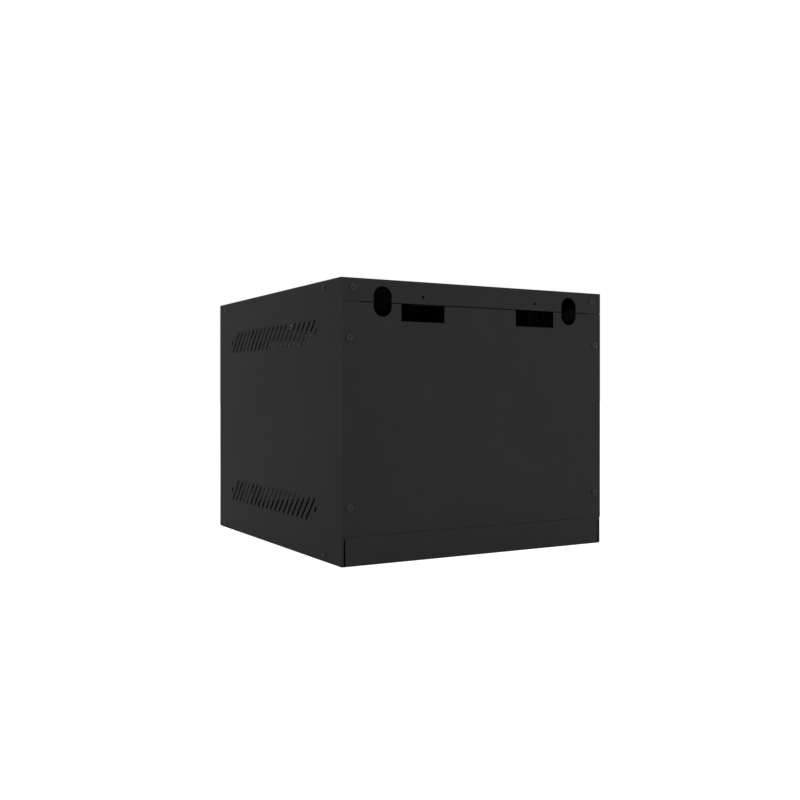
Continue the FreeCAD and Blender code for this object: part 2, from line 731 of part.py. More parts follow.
def nut(body, flats, height, bore):
    """Hexagon nut standing on z = 0, with its bore along Z."""
    profile = new_sketch(body, "hexagon", "XY_Plane")
    draw_hexagon(profile, flats)
    pad = body.newObject("PartDesign::Pad", "prism")
    pad.Profile = profile
    bind(pad, "Length", height)
    profile.Visibility = False
    rod(body, "bore", "z", ("0", "0", f"-{height}"), bore, f"3 * {height}", cut=True)


def rear_screws():
    """Two strip screws and four rear panel screws."""
    long_shank = "2 * skin + nut_height + thread_over"
    body = new_body("strip_screws")
    screw(body, "head_radius", "head_height", "shank_radius", long_shank)
    copies_of_body(body, ("X_Axis", "width - 2 * strip_screw_inset"))
    body.Placement.Rotation = AXIS_TURN["y"]
    place(body, "strip_screw_inset - width / 2", REAR, "height - strip_screw_drop")

    body = new_body("rear_panel_screws")
    screw(body, "head_radius", "head_height", "shank_radius", long_shank)
    spacing = "height - panel_screw_drop - panel_screw_rise"
    copies_of_body(body, ("X_Axis", "width - 2 * panel_screw_inset"), ("Y_Axis", spacing))
    body.Placement.Rotation = AXIS_TURN["y"]
    place(body, "panel_screw_inset - width / 2", REAR, "height - panel_screw_drop")


def rear_nuts():
    """Nuts on the inner face of the rear flanges of the side panels."""
    bore = "shank_radius + hole_clear"
    nut_face = f"{REAR_LIP_IN} - nut_height"
    body = new_body("strip_screw_nuts")
    nut(body, "nut_flats", "nut_height", bore)
    copies_of_body(body, ("X_Axis", "width - 2 * strip_screw_inset"))
    body.Placement.Rotation = AXIS_TURN["y"]
    place(body, "strip_screw_inset - width / 2", nut_face, "height - strip_screw_drop")

    body = new_body("rear_panel_nuts")
    nut(body, "nut_flats", "nut_height", bore)
    spacing = "height - panel_screw_drop - panel_screw_rise"
    copies_of_body(body, ("X_Axis", "width - 2 * panel_screw_inset"), ("Y_Axis", spacing))
    body.Placement.Rotation = AXIS_TURN["y"]
    place(body, "panel_screw_inset - width / 2", nut_face, "height - panel_screw_drop")


def side_screws(side):
    """Four screws of one side panel, with the nuts inside the pan flanges."""
    outward = Turn(V(0, 1, 0), 90 * side)
    spacing_y = "depth - side_screw_front - side_screw_rear"
    spacing_z = "height - 2 * side_screw_rise"
    # Local X runs down on the right and up on the left.
    start_z = "height - side_screw_rise" if side > 0 else "side_screw_rise"

    body = new_body(f"side_screws_{side_name(side)}")
    shank = "2 * skin + seam + small_nut_height + thread_over"
    screw(body, "small_head_radius", "small_head_height", "small_shank_radius", shank)
    copies_of_body(body, ("X_Axis", spacing_z), ("Y_Axis", spacing_y))
    body.Placement.Rotation = outward
    place(body, mirrored(side, HALF_W), "side_screw_front - depth / 2", start_z)

    body = new_body(f"side_nuts_{side_name(side)}")
    nut(body, "small_nut_flats", "small_nut_height", "small_shank_radius + hole_clear")
    copies_of_body(body, ("X_Axis", spacing_z), ("Y_Axis", spacing_y))
    body.Placement.Rotation = outward
    nut_face = mirrored(side, f"{PAN_FLANGE_IN} - small_nut_height")
    place(body, nut_face, "side_screw_front - depth / 2", start_z)


def cover_screws(label, start_z, upright):
    """Four screws of one cable entry cover, heads inside the cabinet."""
    body = new_body(label)
    screw(body, "small_head_radius", "small_head_height", "small_shank_radius", "2 * skin")
    copies_of_body(
        body,
        ("X_Axis", "entry_length + cover_overlap"),
        ("Y_Axis", "entry_width + cover_overlap"),
    )
    row = "(entry_width / 2 + cover_overlap / 2)"
    body.Placement.Rotation = Turn() if upright else Turn(V(1, 0, 0), 180)
    start_y = f"{ENTRY_Y} - {row}" if upright else f"{ENTRY_Y} + {row}"
    place(body, "-(entry_length + cover_overlap) / 2", start_y, start_z)


# ---------------------------------------------------------------- front frame

def front_post(side):
    """Upright angle that the door closes against."""
    body = new_body(f"front_post_{side_name(side)}")
    post_z = ("pan_flange + seam", "height - pan_flange - seam")
    stop_x = across(side, f"{SIDE_IN} - stop_width", SIDE_IN)
    block(body, "stop", stop_x, (STOP_FACE, STOP_BACK), post_z)
    leg_x = across(side, f"{SIDE_IN} - stop_thick", SIDE_IN)
    block(body, "leg", leg_x, (STOP_FACE, f"{STOP_FACE} + stop_leg"), post_z)


def cross_stop(label, stop_z, leg_z):
    """Angle along the front of the top or bottom panel."""
    body = new_body(label)
    span = (f"-({PAN_FLANGE_IN} - seam)", f"{PAN_FLANGE_IN} - seam")
    block(body, "stop", span, (STOP_FACE, STOP_BACK), stop_z)
    block(body, "leg", span, (STOP_FACE, f"{STOP_FACE} + stop_leg"), leg_z)


def door_seal():
    """Foam seal glued on the four stops."""
    body = new_body("door_seal")
    inner = f"({SIDE_IN} - stop_width + seal_edge)"
    foot = "(skin + stop_width - seal_edge)"
    head = f"({CEILING} - stop_width + seal_edge)"
    outer_x = f"({inner} + seal_width)"
    seal_y = (f"{STOP_FACE} - seal_thick", STOP_FACE)
    outer_z = (f"{foot} - seal_width", f"{head} + seal_width")
    block(body, "ring", (f"-{outer_x}", outer_x), seal_y, outer_z)
    hollow_y = (f"{STOP_FACE} - 2 * seal_thick", f"{STOP_FACE} + seal_thick")
    block(body, "hollow", (f"-{inner}", inner), hollow_y, (foot, head), cut=True)


def hinge_pin(label, foot, direction):
    """Collared pivot pin welded on the hem of the top or bottom panel."""
    body = new_body(label)
    collar = "(door_gap - run_gap)"
    reach = f"({collar} + run_gap + door_skin + pin_reach)"
    collar_foot = foot if direction > 0 else f"{foot} - {collar}"
    pin_foot = foot if direction > 0 else f"{foot} - {reach}"
    rod(body, "collar", "z", (PIVOT_X, PIVOT_Y, collar_foot), "pin_collar_radius", collar)
    rod(body, "pin", "z", (PIVOT_X, PIVOT_Y, pin_foot), "pin_radius", reach)


# ---------------------------------------------------------------- door

def clip_places():
    """Middle of each glass clip on the edge of the glass, and its outward direction."""
    quarter_x = f"({OPENING_HALF} / 2)"
    quarter_z = f"(({OPENING_HEAD} - {OPENING_FOOT}) / 4)"
    glass_half = f"({OPENING_HALF} + glass_overlap)"
    places = []
    for sign in ("", "-"):
        places.append((f"{sign}{quarter_x}", f"{OPENING_HEAD} + glass_overlap", (0, 1)))
        places.append((f"{sign}{quarter_x}", f"{OPENING_FOOT} - glass_overlap", (0, -1)))
    for sign in ("+", "-"):
        places.append((glass_half, f"height / 2 {sign} {quarter_z}", (1, 0)))
        places.append((f"-{glass_half}", f"height / 2 {sign} {quarter_z}", (-1, 0)))
    return places


def stepped(place_xz, low, high):
    """X and Z intervals of a clip part that runs from low to high, outwards."""
    x, z, (out_x, out_z) = place_xz
    if out_x > 0:
        return (f"{x} + {low}", f"{x} + {high}"), (f"{z} - clip_width / 2", f"{z} + clip_width / 2")
    if out_x < 0:
        return (f"{x} - ({high})", f"{x} - ({low})"), (f"{z} - clip_width / 2", f"{z} + clip_width / 2")
    if out_z > 0:
        return (f"{x} - clip_width / 2", f"{x} + clip_width / 2"), (f"{z} + {low}", f"{z} + {high}")
    return (f"{x} - clip_width / 2", f"{x} + clip_width / 2"), (f"{z} - ({high})", f"{z} - ({low})")


def stud_centre(place_xz):
    x, z, (out_x, out_z) = place_xz
    reach = "(clip_clear + clip_thick + clip_foot / 2)"
    if out_x:
        return f"{x} {'+' if out_x > 0 else '-'} {reach}", z
    return x, f"{z} {'+' if out_z > 0 else '-'} {reach}"


def door_frame():
    """Folded door tray with its window, the lock hole and the clip studs."""
    body = new_body("door_frame")
    half, foot, head = DOOR_HALF, DOOR_FOOT, DOOR_HEAD
    block(body, "tray", (f"-{half}", half), (DOOR_FACE, DOOR_BACK), (foot, head))
    round_bends(body, "door_skin", [
        {"y": DOOR_FACE, "z": foot},
        {"y": DOOR_FACE, "z": head},
        {"y": DOOR_FACE, "x": half},
        {"y": DOOR_FACE, "x": f"-{half}"},
    ])
    block(
        body,
        "hollow",
        (f"door_skin - {half}", f"{half} - door_skin"),
        (DOOR_SHEET, f"{DOOR_BACK} - door_skin"),
        (f"{foot} + door_skin", f"{head} - door_skin"),
        cut=True,
    )
    block(
        body,
        "back_opening",
        (f"door_lip - {half}", f"{half} - door_lip"),
        (f"{DOOR_BACK} - 2 * door_skin", f"{DOOR_BACK} + door_skin"),
        (f"{foot} + door_lip", f"{head} - door_lip"),
        cut=True,
    )
    window = new_sketch(body, "window_sketch", "XZ_Plane", f"-({DOOR_FACE} + door_skin / 2)")
    draw_rectangle(window, (f"-{OPENING_HALF}", OPENING_HALF), (OPENING_FOOT, OPENING_HEAD))
    pocket_both_ways(body, "window", window, "3 * door_skin")
    lock_start = (LOCK_X, f"{DOOR_FACE} - door_skin", LOCK_Z)
    rod(body, "lock_hole", "y", lock_start, "lock_radius + hole_clear", "3 * door_skin", cut=True)
    rod(body, "lower_pin_hole", "z", (PIVOT_X, PIVOT_Y, f"{foot} - door_skin"),
        "pin_radius + run_gap", "3 * door_skin", cut=True)
    rod(body, "upper_pin_hole", "z", (PIVOT_X, PIVOT_Y, f"{head} - 2 * door_skin"),
        "pin_radius + run_gap", "3 * door_skin", cut=True)
    for number, place_xz in enumerate(clip_places()):
        x, z = stud_centre(place_xz)
        start = (x, f"{DOOR_SHEET} - door_skin / 2", z)
        rod(body, f"stud_{number}", "y", start, "stud_radius", "stud_length + door_skin / 2")


def hinge_block(label, foot):
    """Steel block in a door corner, bored for the pivot pin."""
    body = new_body(label)
    block_x = (f"door_skin - {DOOR_HALF}", f"door_skin + block_width - {DOOR_HALF}")
    block_y = (DOOR_SHEET, f"{DOOR_BACK} - door_skin - block_clear")
    block(body, "block", block_x, block_y, (foot, f"{foot} + block_height"))
    start = (PIVOT_X, PIVOT_Y, f"{foot} - block_height")
    rod(body, "pivot_bore", "z", start, "pin_radius + pin_fit", "3 * block_height", cut=True)


def glazing():
    """Glass pane and the gasket between it and the door sheet."""
    glass_half = f"({OPENING_HALF} + glass_overlap)"
    glass_z = (f"{OPENING_FOOT} - glass_overlap", f"{OPENING_HEAD} + glass_overlap")
    body = new_body("door_glass")
    block(body, "pane", (f"-{glass_half}", glass_half), (GLASS_FRONT, GLASS_BACK), glass_z)

    body = new_body("glass_gasket")
    block(body, "ring", (f"-{glass_half}", glass_half), (DOOR_SHEET, GLASS_FRONT), glass_z)
    inner = f"({OPENING_HALF} + gasket_clear)"
    hollow_y = (f"{DOOR_SHEET} - gasket_thick", f"{GLASS_FRONT} + gasket_thick")
    hollow_z = (f"{OPENING_FOOT} - gasket_clear", f"{OPENING_HEAD} + gasket_clear")
    block(body, "hollow", (f"-{inner}", inner), hollow_y, hollow_z, cut=True)


def glass_clips():
    """Eight stepped clips that press the glass on its gasket."""
    body = new_body("glass_clips")
    bore = "stud_radius + hole_clear"
    for number, place_xz in enumerate(clip_places()):
        foot_x, foot_z = stepped(place_xz, "clip_clear", "clip_clear + clip_thick + clip_foot")
        block(body, f"foot_{number}", foot_x, (DOOR_SHEET, f"{DOOR_SHEET} + clip_thick"), foot_z)
        riser_x, riser_z = stepped(place_xz, "clip_clear", "clip_clear + clip_thick")
        block(body, f"riser_{number}", riser_x, (DOOR_SHEET, f"{GLASS_BACK} + clip_thick"), riser_z)
        tongue_x, tongue_z = stepped(place_xz, "-clip_tongue", "clip_clear + clip_thick")
        block(body, f"tongue_{number}", tongue_x, (GLASS_BACK, f"{GLASS_BACK} + clip_thick"), tongue_z)
        x, z = stud_centre(place_xz)
        start = (x, f"{DOOR_SHEET} - clip_thick", z)
        rod(body, f"stud_hole_{number}", "y", start, bore, "3 * clip_thick", cut=True)


def glass_clip_nuts():
    """A round-flanged nut on each clip stud."""
    body = new_body("glass_clip_nuts")
    centres = [stud_centre(place_xz) for place_xz in clip_places()]
    face = f"{DOOR_SHEET} + clip_thick"
    for number, (x, z) in enumerate(centres):
        rod(body, f"nut_{number}", "y", (x, face, z), "small_nut_flats / 2", "small_nut_height")
    for number, (x, z) in enumerate(centres):
        start = (x, f"{face} - clip_thick", z)
        bore = "stud_radius + hole_clear"
        rod(body, f"bore_{number}", "y", start, bore, "small_nut_height + 2 * clip_thick", cut=True)


# ---------------------------------------------------------------- lock

def lock_body():
    """Barrel of the cam lock, fixed in the door."""
    body = new_body("lock_body")
    start = (LOCK_X, f"{DOOR_FACE} - lock_flange", LOCK_Z)
    flange = rod(body, "flange", "y", start, "lock_flange_radius", "lock_flange")
    doc.recompute()
    rim = [
        f"Edge{number}"
        for number, edge in enumerate(flange.Shape.Edges, start=1)
        if len(edge.Vertexes) == 1 and edge.BoundBox.YMax < value(f"{DOOR_FACE} - lock_flange / 2")
    ]
    bevel = body.newObject("PartDesign::Chamfer", "bevel")
    bevel.Base = (flange, rim)
    bind(bevel, "Size", "lock_flange / 4")
    barrel_length = f"{CAM_FRONT} - run_gap - ({DOOR_FACE})"
    rod(body, "barrel", "y", (LOCK_X, f"{DOOR_FACE} - lock_flange / 2", LOCK_Z),
        "lock_radius", f"{barrel_length} + lock_flange / 2")
    start = (LOCK_X, f"{DOOR_FACE} - 2 * lock_flange", LOCK_Z)
    rod(body, "plug_bore", "y", start, "plug_radius + plug_fit",
        f"{barrel_length} + 4 * lock_flange", cut=True)


def lock_nut():
    """Nut that clamps the barrel behind the door sheet."""
    body = new_body("lock_nut")
    nut(body, "lock_nut_flats", "lock_nut_height", "lock_radius + hole_clear")
    body.Placement.Rotation = AXIS_TURN["y"]
    place(body, LOCK_X, DOOR_SHEET, LOCK_Z)


def lock_plug():
    """Turning plug with its key slot, and the neck that carries the cam."""
    body = new_body("lock_plug")
    start = (LOCK_X, f"{DOOR_FACE} - lock_flange", LOCK_Z)
    length = f"{CAM_FRONT} - ({DOOR_FACE}) + lock_flange"
    rod(body, "plug", "y", start, "plug_radius", length)
    rod(body, "neck", "y", start, "plug_radius / 2", f"{length} + cam_thick")
    half_width = "(key_slot_width / 2)"
    half_height = "(key_slot_height / 2)"
    block(
        body,
        "key_slot",
        (f"{LOCK_X} - {half_width}", f"{LOCK_X} + {half_width}"),
        (f"{DOOR_FACE} - 2 * lock_flange", f"{DOOR_FACE} - lock_flange + key_slot_depth"),
        (f"{LOCK_Z} - {half_height}", f"{LOCK_Z} + {half_height}"),
        cut=True,
    )
    screw_start = (LOCK_X, f"{CAM_BACK} - cam_screw_length - thread_over", LOCK_Z)
    rod(body, "screw_hole", "y", screw_start, "cam_screw_radius + hole_clear",
        "cam_screw_length + 2 * thread_over", cut=True)


def lock_cam():
    """Cam arm; upwards it frees the door, turned outwards it holds the stop."""
    body = new_body("lock_cam")
    cam_y = (CAM_FRONT, CAM_BACK)
    arm_x = (f"{LOCK_X} - cam_width / 2", f"{LOCK_X} + cam_width / 2")
    block(body, "arm", arm_x, cam_y, (LOCK_Z, f"{LOCK_Z} + {CAM_REACH}"))
    rod(body, "boss", "y", (LOCK_X, CAM_FRONT, LOCK_Z), "cam_width / 2", "cam_thick")
    start = (LOCK_X, f"{CAM_FRONT} - cam_thick", LOCK_Z)
    rod(body, "neck_hole", "y", start, "plug_radius / 2 + hole_clear", "3 * cam_thick", cut=True)


def cam_screw():
    """Screw that holds the cam on the plug."""
    body = new_body("cam_screw")
    screw(body, "cam_screw_head", "small_head_height", "cam_screw_radius", "cam_screw_length")
    body.Placement.Rotation = AXIS_TURN["y"]
    place(body, LOCK_X, CAM_BACK, LOCK_Z)


# ---------------------------------------------------------------- rack rails

def rail_carrier(side, level, bolt_z):
    """Bridge bracket along the side panel, slotted for the rail bolts."""
    body = new_body(f"rail_carrier_{level}_{side_name(side)}")
    low_z = f"{bolt_z} - carrier_height / 2"
    high_z = f"{bolt_z} + carrier_height / 2"
    height = (low_z, high_z)
    bar_x = across(side, CARRIER_IN, CARRIER_OUT)
    block(body, "bar", bar_x, (CARRIER_FRONT, CARRIER_REAR), height)
    tab_x = across(side, CARRIER_IN, SIDE_IN)
    block(body, "front_tab", tab_x, (CARRIER_FRONT, f"{CARRIER_FRONT} + carrier_sheet"), height)
    block(body, "rear_tab", tab_x, (f"{CARRIER_REAR} - carrier_sheet", CARRIER_REAR), height)
    foot_x = across(side, f"{SIDE_IN} - carrier_sheet", SIDE_IN)
    block(body, "front_foot", foot_x, (CARRIER_FRONT, f"{CARRIER_FRONT} + carrier_foot"), height)
    block(body, "rear_foot", foot_x, (f"{CARRIER_REAR} - carrier_foot", CARRIER_REAR), height)
    slots = new_sketch(body, "slot_sketch", "YZ_Plane", mirrored(side, CARRIER_IN))
    front_bolt = f"({FRONT_RAIL_FACE} + rail_depth / 2)"
    rear_bolt = f"({REAR_RAIL_FACE} - rail_depth / 2)"
    width = "bolt_radius + run_gap"
    draw_obround(slots, (front_bolt, bolt_z), (f"{front_bolt} + front_travel", bolt_z), width)
    draw_obround(
        slots,
        (f"{rear_bolt} - rear_travel_in", bolt_z),
        (f"{rear_bolt} + rear_travel_out", bolt_z),
        width,
    )
    pocket_both_ways(body, "rail_slots", slots, "3 * carrier_sheet")


def along(end, low, high):
    """An interval along Y behind the front rail face, or mirrored for the rear."""
    if end == "front":
        return f"{FRONT_RAIL_FACE} + {low}", f"{FRONT_RAIL_FACE} + {high}"
    return f"{REAR_RAIL_FACE} - ({high})", f"{REAR_RAIL_FACE} - ({low})"


def rack_rail(end, side):
    """Folded upright with the square holes of nine rack units."""
    body = new_body(f"rack_rail_{end}_{side_name(side)}")
    height = (RAIL_FOOT, RAIL_HEAD)
    face_x = across(side, RAIL_INNER, RAIL_OUTER)
    face_y = along(end, "0", "rail_sheet")
    block(body, "face", face_x, face_y, height)
    web_x = across(side, f"{RAIL_OUTER} - rail_sheet", RAIL_OUTER)
    block(body, "web", web_x, along(end, "0", "rail_depth"), height)
    lip_x = across(side, f"{RAIL_OUTER} - rail_lip", RAIL_OUTER)
    block(body, "lip", lip_x, along(end, "rail_depth - rail_sheet", "rail_depth"), height)

    middle = f"-(({face_y[0]}) + ({face_y[1]})) / 2"
    holes = new_sketch(body, "hole_sketch", "XZ_Plane", middle)
    centre = mirrored(side, "hole_half_pitch")
    for step in (f"-{HOLE_STEP}", "0", HOLE_STEP):
        centre_z = f"(unit_margin + unit_height / 2 + {step})"
        draw_rectangle(
            holes,
            (f"{centre} - hole_size / 2", f"{centre} + hole_size / 2"),
            (f"{centre_z} - hole_size / 2", f"{centre_z} + hole_size / 2"),
        )
    one_unit = pocket_both_ways(body, "one_unit", holes, "2 * rail_sheet")
    row_of(body, "all_units", one_unit, "Z_Axis", "unit_height * (units - 1)", "units")
    for name, z in (("lower_bolt_hole", LOWER_BOLT), ("upper_bolt_hole", UPPER_BOLT)):
        start_x = f"{RAIL_OUTER} - 2 * rail_sheet" if side > 0 else f"-({RAIL_OUTER} + rail_sheet)"
        start = (start_x, bolt_y(end), z)
        rod(body, name, "x", start, "bolt_radius + hole_clear", "3 * rail_sheet", cut=True)


def bolt_y(end):
    if end == "front":
        return f"{FRONT_RAIL_FACE} + rail_depth / 2"
    return f"{REAR_RAIL_FACE} - rail_depth / 2"


def rail_fasteners(end, side):
    """Two bolts through a rail web and its carriers, and their nuts."""
    outward = Turn(V(0, 1, 0), 90 * side)
    start_z = UPPER_BOLT if side > 0 else LOWER_BOLT
    spacing = f"{UPPER_BOLT} - {LOWER_BOLT}"
    body = new_body(f"rail_bolts_{end}_{side_name(side)}")
    profile = new_sketch(body, "hexagon", "XY_Plane")
    draw_hexagon(profile, "nut_flats")
    head = body.newObject("PartDesign::Pad", "head")
    head.Profile = profile
    bind(head, "Length", "bolt_head_height")
    profile.Visibility = False
    reach = "rail_sheet + run_gap + carrier_sheet + run_gap + nut_height + thread_over"
    rod(body, "shank", "z", ("0", "0", "0"), "bolt_radius", f"bolt_head_height + {reach}")
    copies_of_body(body, ("X_Axis", spacing))
    body.Placement.Rotation = outward
    head_x = f"{RAIL_OUTER} - rail_sheet - bolt_head_height"
    place(body, mirrored(side, head_x), bolt_y(end), start_z)

    body = new_body(f"rail_nuts_{end}_{side_name(side)}")
    nut(body, "nut_flats", "nut_height", "bolt_radius + hole_clear")
    copies_of_body(body, ("X_Axis", spacing))
    body.Placement.Rotation = outward
    place(body, mirrored(side, f"{CARRIER_OUT} + run_gap"), bolt_y(end), start_z)


# ---------------------------------------------------------------- earthing

def earth_terminal():
    """Earth stud welded on the floor, with a washer and a nut."""
    x, y = "-earth_across", "earth_back"
    body = new_body("earth_stud")
    rod(body, "stud", "z", (x, y, "skin"), "earth_radius", "earth_length")
    body = new_body("earth_nut")
    nut(body, "nut_flats", "nut_height", "earth_radius + hole_clear")
    place(body, x, y, "skin + washer_thick")
    body = new_body("earth_washer")
    rod(body, "washer", "z", (x, y, "skin"), "washer_radius", "washer_thick")
    rod(body, "bore", "z", (x, y, "0"), "earth_radius + hole_clear", "3 * washer_thick", cut=True)


# ---------------------------------------------------------------- assembly

top_panel()
bottom_panel()
rear_panel()
for hand in (-1, 1):
    side_panel(hand)
    hanger_plate(hand)
    side_screws(hand)
    front_post(hand)
entry_cover("top_entry_cover", "height - 2 * skin", CEILING)
entry_cover("bottom_entry_cover", "skin", "2 * skin")
cover_screws("top_cover_screws", "height - 2 * skin", upright=False)
cover_screws("bottom_cover_screws", "2 * skin", upright=True)
rear_screws()
rear_nuts()
cross_stop(
    "front_stop_top",
    (f"{CEILING} - stop_width", CEILING),
    (f"{CEILING} - stop_thick", CEILING),
)
cross_stop("front_stop_bottom", ("skin", "skin + stop_width"), ("skin", "skin + stop_thick"))
door_seal()
hinge_pin("hinge_pin_lower", "2 * skin", 1)
hinge_pin("hinge_pin_upper", "height - 2 * skin", -1)
door_frame()
hinge_block("hinge_block_lower", f"{DOOR_FOOT} + door_skin")
hinge_block("hinge_block_upper", f"{DOOR_HEAD} - door_skin - block_height")
glazing()
glass_clips()
glass_clip_nuts()
lock_body()
lock_nut()
lock_plug()
lock_cam()
cam_screw()
for hand in (-1, 1):
    rail_carrier(hand, "lower", LOWER_BOLT)
    rail_carrier(hand, "upper", UPPER_BOLT)
    for place_name in ("front", "rear"):
        rack_rail(place_name, hand)
        rail_fasteners(place_name, hand)
earth_terminal()

doc.recompute()

for thing in doc.Objects:
    if "Invalid" in thing.State or "Error" in thing.State:
        raise RuntimeError(f"{thing.Name} failed: {thing.State}")
for part in subparts:
    if part.Shape.isNull() or not part.Shape.isValid():
        raise RuntimeError(f"{part.Label} has no valid shape")

os.makedirs("parts", exist_ok=True)
for part in subparts:
    part.Shape.exportStep(f"parts/{part.Label}.step")
print(f"{len(subparts)} nodes written")
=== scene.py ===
import json
import math

import bmesh
import bpy
from mathutils import Matrix, Vector

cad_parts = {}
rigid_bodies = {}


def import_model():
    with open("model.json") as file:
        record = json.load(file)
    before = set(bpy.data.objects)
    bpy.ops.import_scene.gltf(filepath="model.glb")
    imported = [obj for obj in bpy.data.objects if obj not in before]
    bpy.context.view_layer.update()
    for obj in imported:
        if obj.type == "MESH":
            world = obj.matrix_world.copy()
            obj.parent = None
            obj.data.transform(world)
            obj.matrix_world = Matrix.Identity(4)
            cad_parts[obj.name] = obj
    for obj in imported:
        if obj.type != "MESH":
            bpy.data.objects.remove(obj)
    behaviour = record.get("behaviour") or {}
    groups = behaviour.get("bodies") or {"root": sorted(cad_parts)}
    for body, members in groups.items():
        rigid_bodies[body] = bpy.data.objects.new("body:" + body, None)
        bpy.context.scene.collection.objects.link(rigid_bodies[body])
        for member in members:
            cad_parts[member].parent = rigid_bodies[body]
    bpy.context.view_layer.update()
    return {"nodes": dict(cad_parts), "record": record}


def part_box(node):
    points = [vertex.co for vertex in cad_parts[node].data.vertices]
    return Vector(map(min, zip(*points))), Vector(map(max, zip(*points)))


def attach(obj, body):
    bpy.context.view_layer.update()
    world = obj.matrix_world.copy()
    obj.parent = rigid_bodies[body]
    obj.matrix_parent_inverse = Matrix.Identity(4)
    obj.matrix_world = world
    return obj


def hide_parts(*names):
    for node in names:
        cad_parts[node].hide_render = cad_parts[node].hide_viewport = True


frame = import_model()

MM = 0.001
bodies = frame["record"]["behaviour"]["bodies"]
body_of = {node: body for body, members in bodies.items() for node in members}
slot_of = {part["node"]: part["material_slot"] for part in frame["record"]["subparts"]}


# ---------------------------------------------------------------- node helpers

class Surface:
    """A Principled material whose inputs are fed by small chains of nodes."""

    def __init__(self, name, **values):
        self.material = bpy.data.materials.new(name)
        self.material.use_nodes = True
        self.tree = self.material.node_tree
        self.shader = self.tree.nodes["Principled BSDF"]
        for key, value in values.items():
            self.shader.inputs[key.replace("_", " ")].default_value = value
        self.place = self.add("ShaderNodeTexCoord").outputs["Object"]

    def add(self, kind, inputs=None, **settings):
        node = self.tree.nodes.new(kind)
        for key, value in settings.items():
            setattr(node, key, value)
        for key, value in (inputs or {}).items():
            if isinstance(value, bpy.types.NodeSocket):
                self.tree.links.new(value, node.inputs[key])
            else:
                node.inputs[key].default_value = value
        return node

    def feed(self, key, socket):
        self.tree.links.new(socket, self.shader.inputs[key])

    def stretched(self, scale):
        mapping = self.add("ShaderNodeMapping", {"Vector": self.place, "Scale": scale})
        return mapping.outputs["Vector"]

    def noise(self, scale, detail=2.0, roughness=0.5, place=None):
        inputs = {"Vector": place or self.place, "Scale": scale}
        inputs.update({"Detail": detail, "Roughness": roughness})
        return self.add("ShaderNodeTexNoise", inputs).outputs["Fac"]

    def cells(self, scale, feature="F1", output="Distance"):
        inputs = {"Vector": self.place, "Scale": scale}
        return self.add("ShaderNodeTexVoronoi", inputs, feature=feature).outputs[output]

    def ranged(self, value, low, high, to_low=0.0, to_high=1.0):
        inputs = {"Value": value, "From Min": low, "From Max": high}
        inputs.update({"To Min": to_low, "To Max": to_high})
        return self.add("ShaderNodeMapRange", inputs).outputs["Result"]

    def math(self, operation, first, second):
        node = self.add("ShaderNodeMath", {0: first, 1: second}, operation=operation)
        return node.outputs[0]

    def mixed(self, share, first, second):
        node = self.add("ShaderNodeMix", data_type="RGBA")
        for index, value in ((0, share), (6, first), (7, second)):
            if isinstance(value, bpy.types.NodeSocket):
                self.tree.links.new(value, node.inputs[index])
            else:
                node.inputs[index].default_value = value
        return node.outputs[2]

    def rounded(self, radius):
        """Normal of softly rounded edges, and a mask of where those edges are."""
        bevel = self.add("ShaderNodeBevel", {"Radius": radius}, samples=6)
        flat = self.add("ShaderNodeNewGeometry")
        dot = self.add(
            "ShaderNodeVectorMath",
            {0: bevel.outputs["Normal"], 1: flat.outputs["Normal"]},
            operation="DOT_PRODUCT",
        )
        return bevel.outputs["Normal"], self.ranged(dot.outputs["Value"], 0.995, 0.90)

    def relief(self, height, depth, strength=1.0, normal=None):
        inputs = {"Height": height, "Distance": depth, "Strength": strength}
        if normal is not None:
            inputs["Normal"] = normal
        self.feed("Normal", self.add("ShaderNodeBump", inputs).outputs["Normal"])


def grey(level):
    return (level, level, level, 1.0)


# ---------------------------------------------------------------- materials

def powder_coat():
    """Fine-textured black powder coat: pebbled skin, faint cloudiness, edges lightened partly as rubbed wear
    and partly as a painted highlight.
    """
    s = Surface("black_powder_coat", Specular_IOR_Level=0.03)
    cloud = s.noise(3.2, 3.0, 0.55)
    mottle = s.noise(38.0, 2.0, 0.6)
    grain = s.noise(1500.0, 3.0, 0.65)
    pebble = s.cells(640.0, "SMOOTH_F1")
    normal, edge = s.rounded(0.7 * MM)
    base = s.mixed(s.ranged(cloud, 0.3, 0.7), grey(0.0170), grey(0.0205))
    base = s.mixed(s.ranged(mottle, 0.35, 0.75, 0.0, 0.25), base, grey(0.0245))
    specks = s.ranged(grain, 0.60, 0.78, 0.0, 0.55)
    base = s.mixed(specks, base, grey(0.034))
    # edges painted lighter: partly rubbed wear, partly a painted highlight along the folds
    edge_wear_and_highlight = s.math("MULTIPLY", edge, s.ranged(s.noise(85.0, 4.0, 0.7), 0.40, 0.72, 0.10, 0.85))
    base = s.mixed(edge_wear_and_highlight, base, grey(0.060))
    s.feed("Base Color", base)
    rough = s.ranged(cloud, 0.3, 0.7, 0.56, 0.66)
    rough = s.math("SUBTRACT", rough, s.math("MULTIPLY", edge_wear_and_highlight, 0.14))
    s.feed("Roughness", rough)
    height = s.math("ADD", s.math("MULTIPLY", grain, 0.55), s.math("MULTIPLY", pebble, 0.45))
    s.relief(height, 0.16 * MM, 0.75, normal)
    return s.material


def black_zinc():
    """Black plated fasteners, a little glossier than the coat and worn on the crown."""
    s = Surface("black_screws", Specular_IOR_Level=0.08)
    normal, edge = s.rounded(0.35 * MM)
    patina = s.noise(420.0, 3.0, 0.6)
    base = s.mixed(s.ranged(patina, 0.3, 0.7), grey(0.016), grey(0.030))
    worn = s.math("MULTIPLY", edge, s.ranged(s.noise(900.0), 0.42, 0.62, 0.15, 0.9))
    s.feed("Base Color", s.mixed(worn, base, grey(0.055)))
    s.feed("Roughness", s.ranged(patina, 0.3, 0.7, 0.44, 0.56))
    s.relief(s.noise(2600.0, 2.0), 0.05 * MM, 0.5, normal)
    return s.material


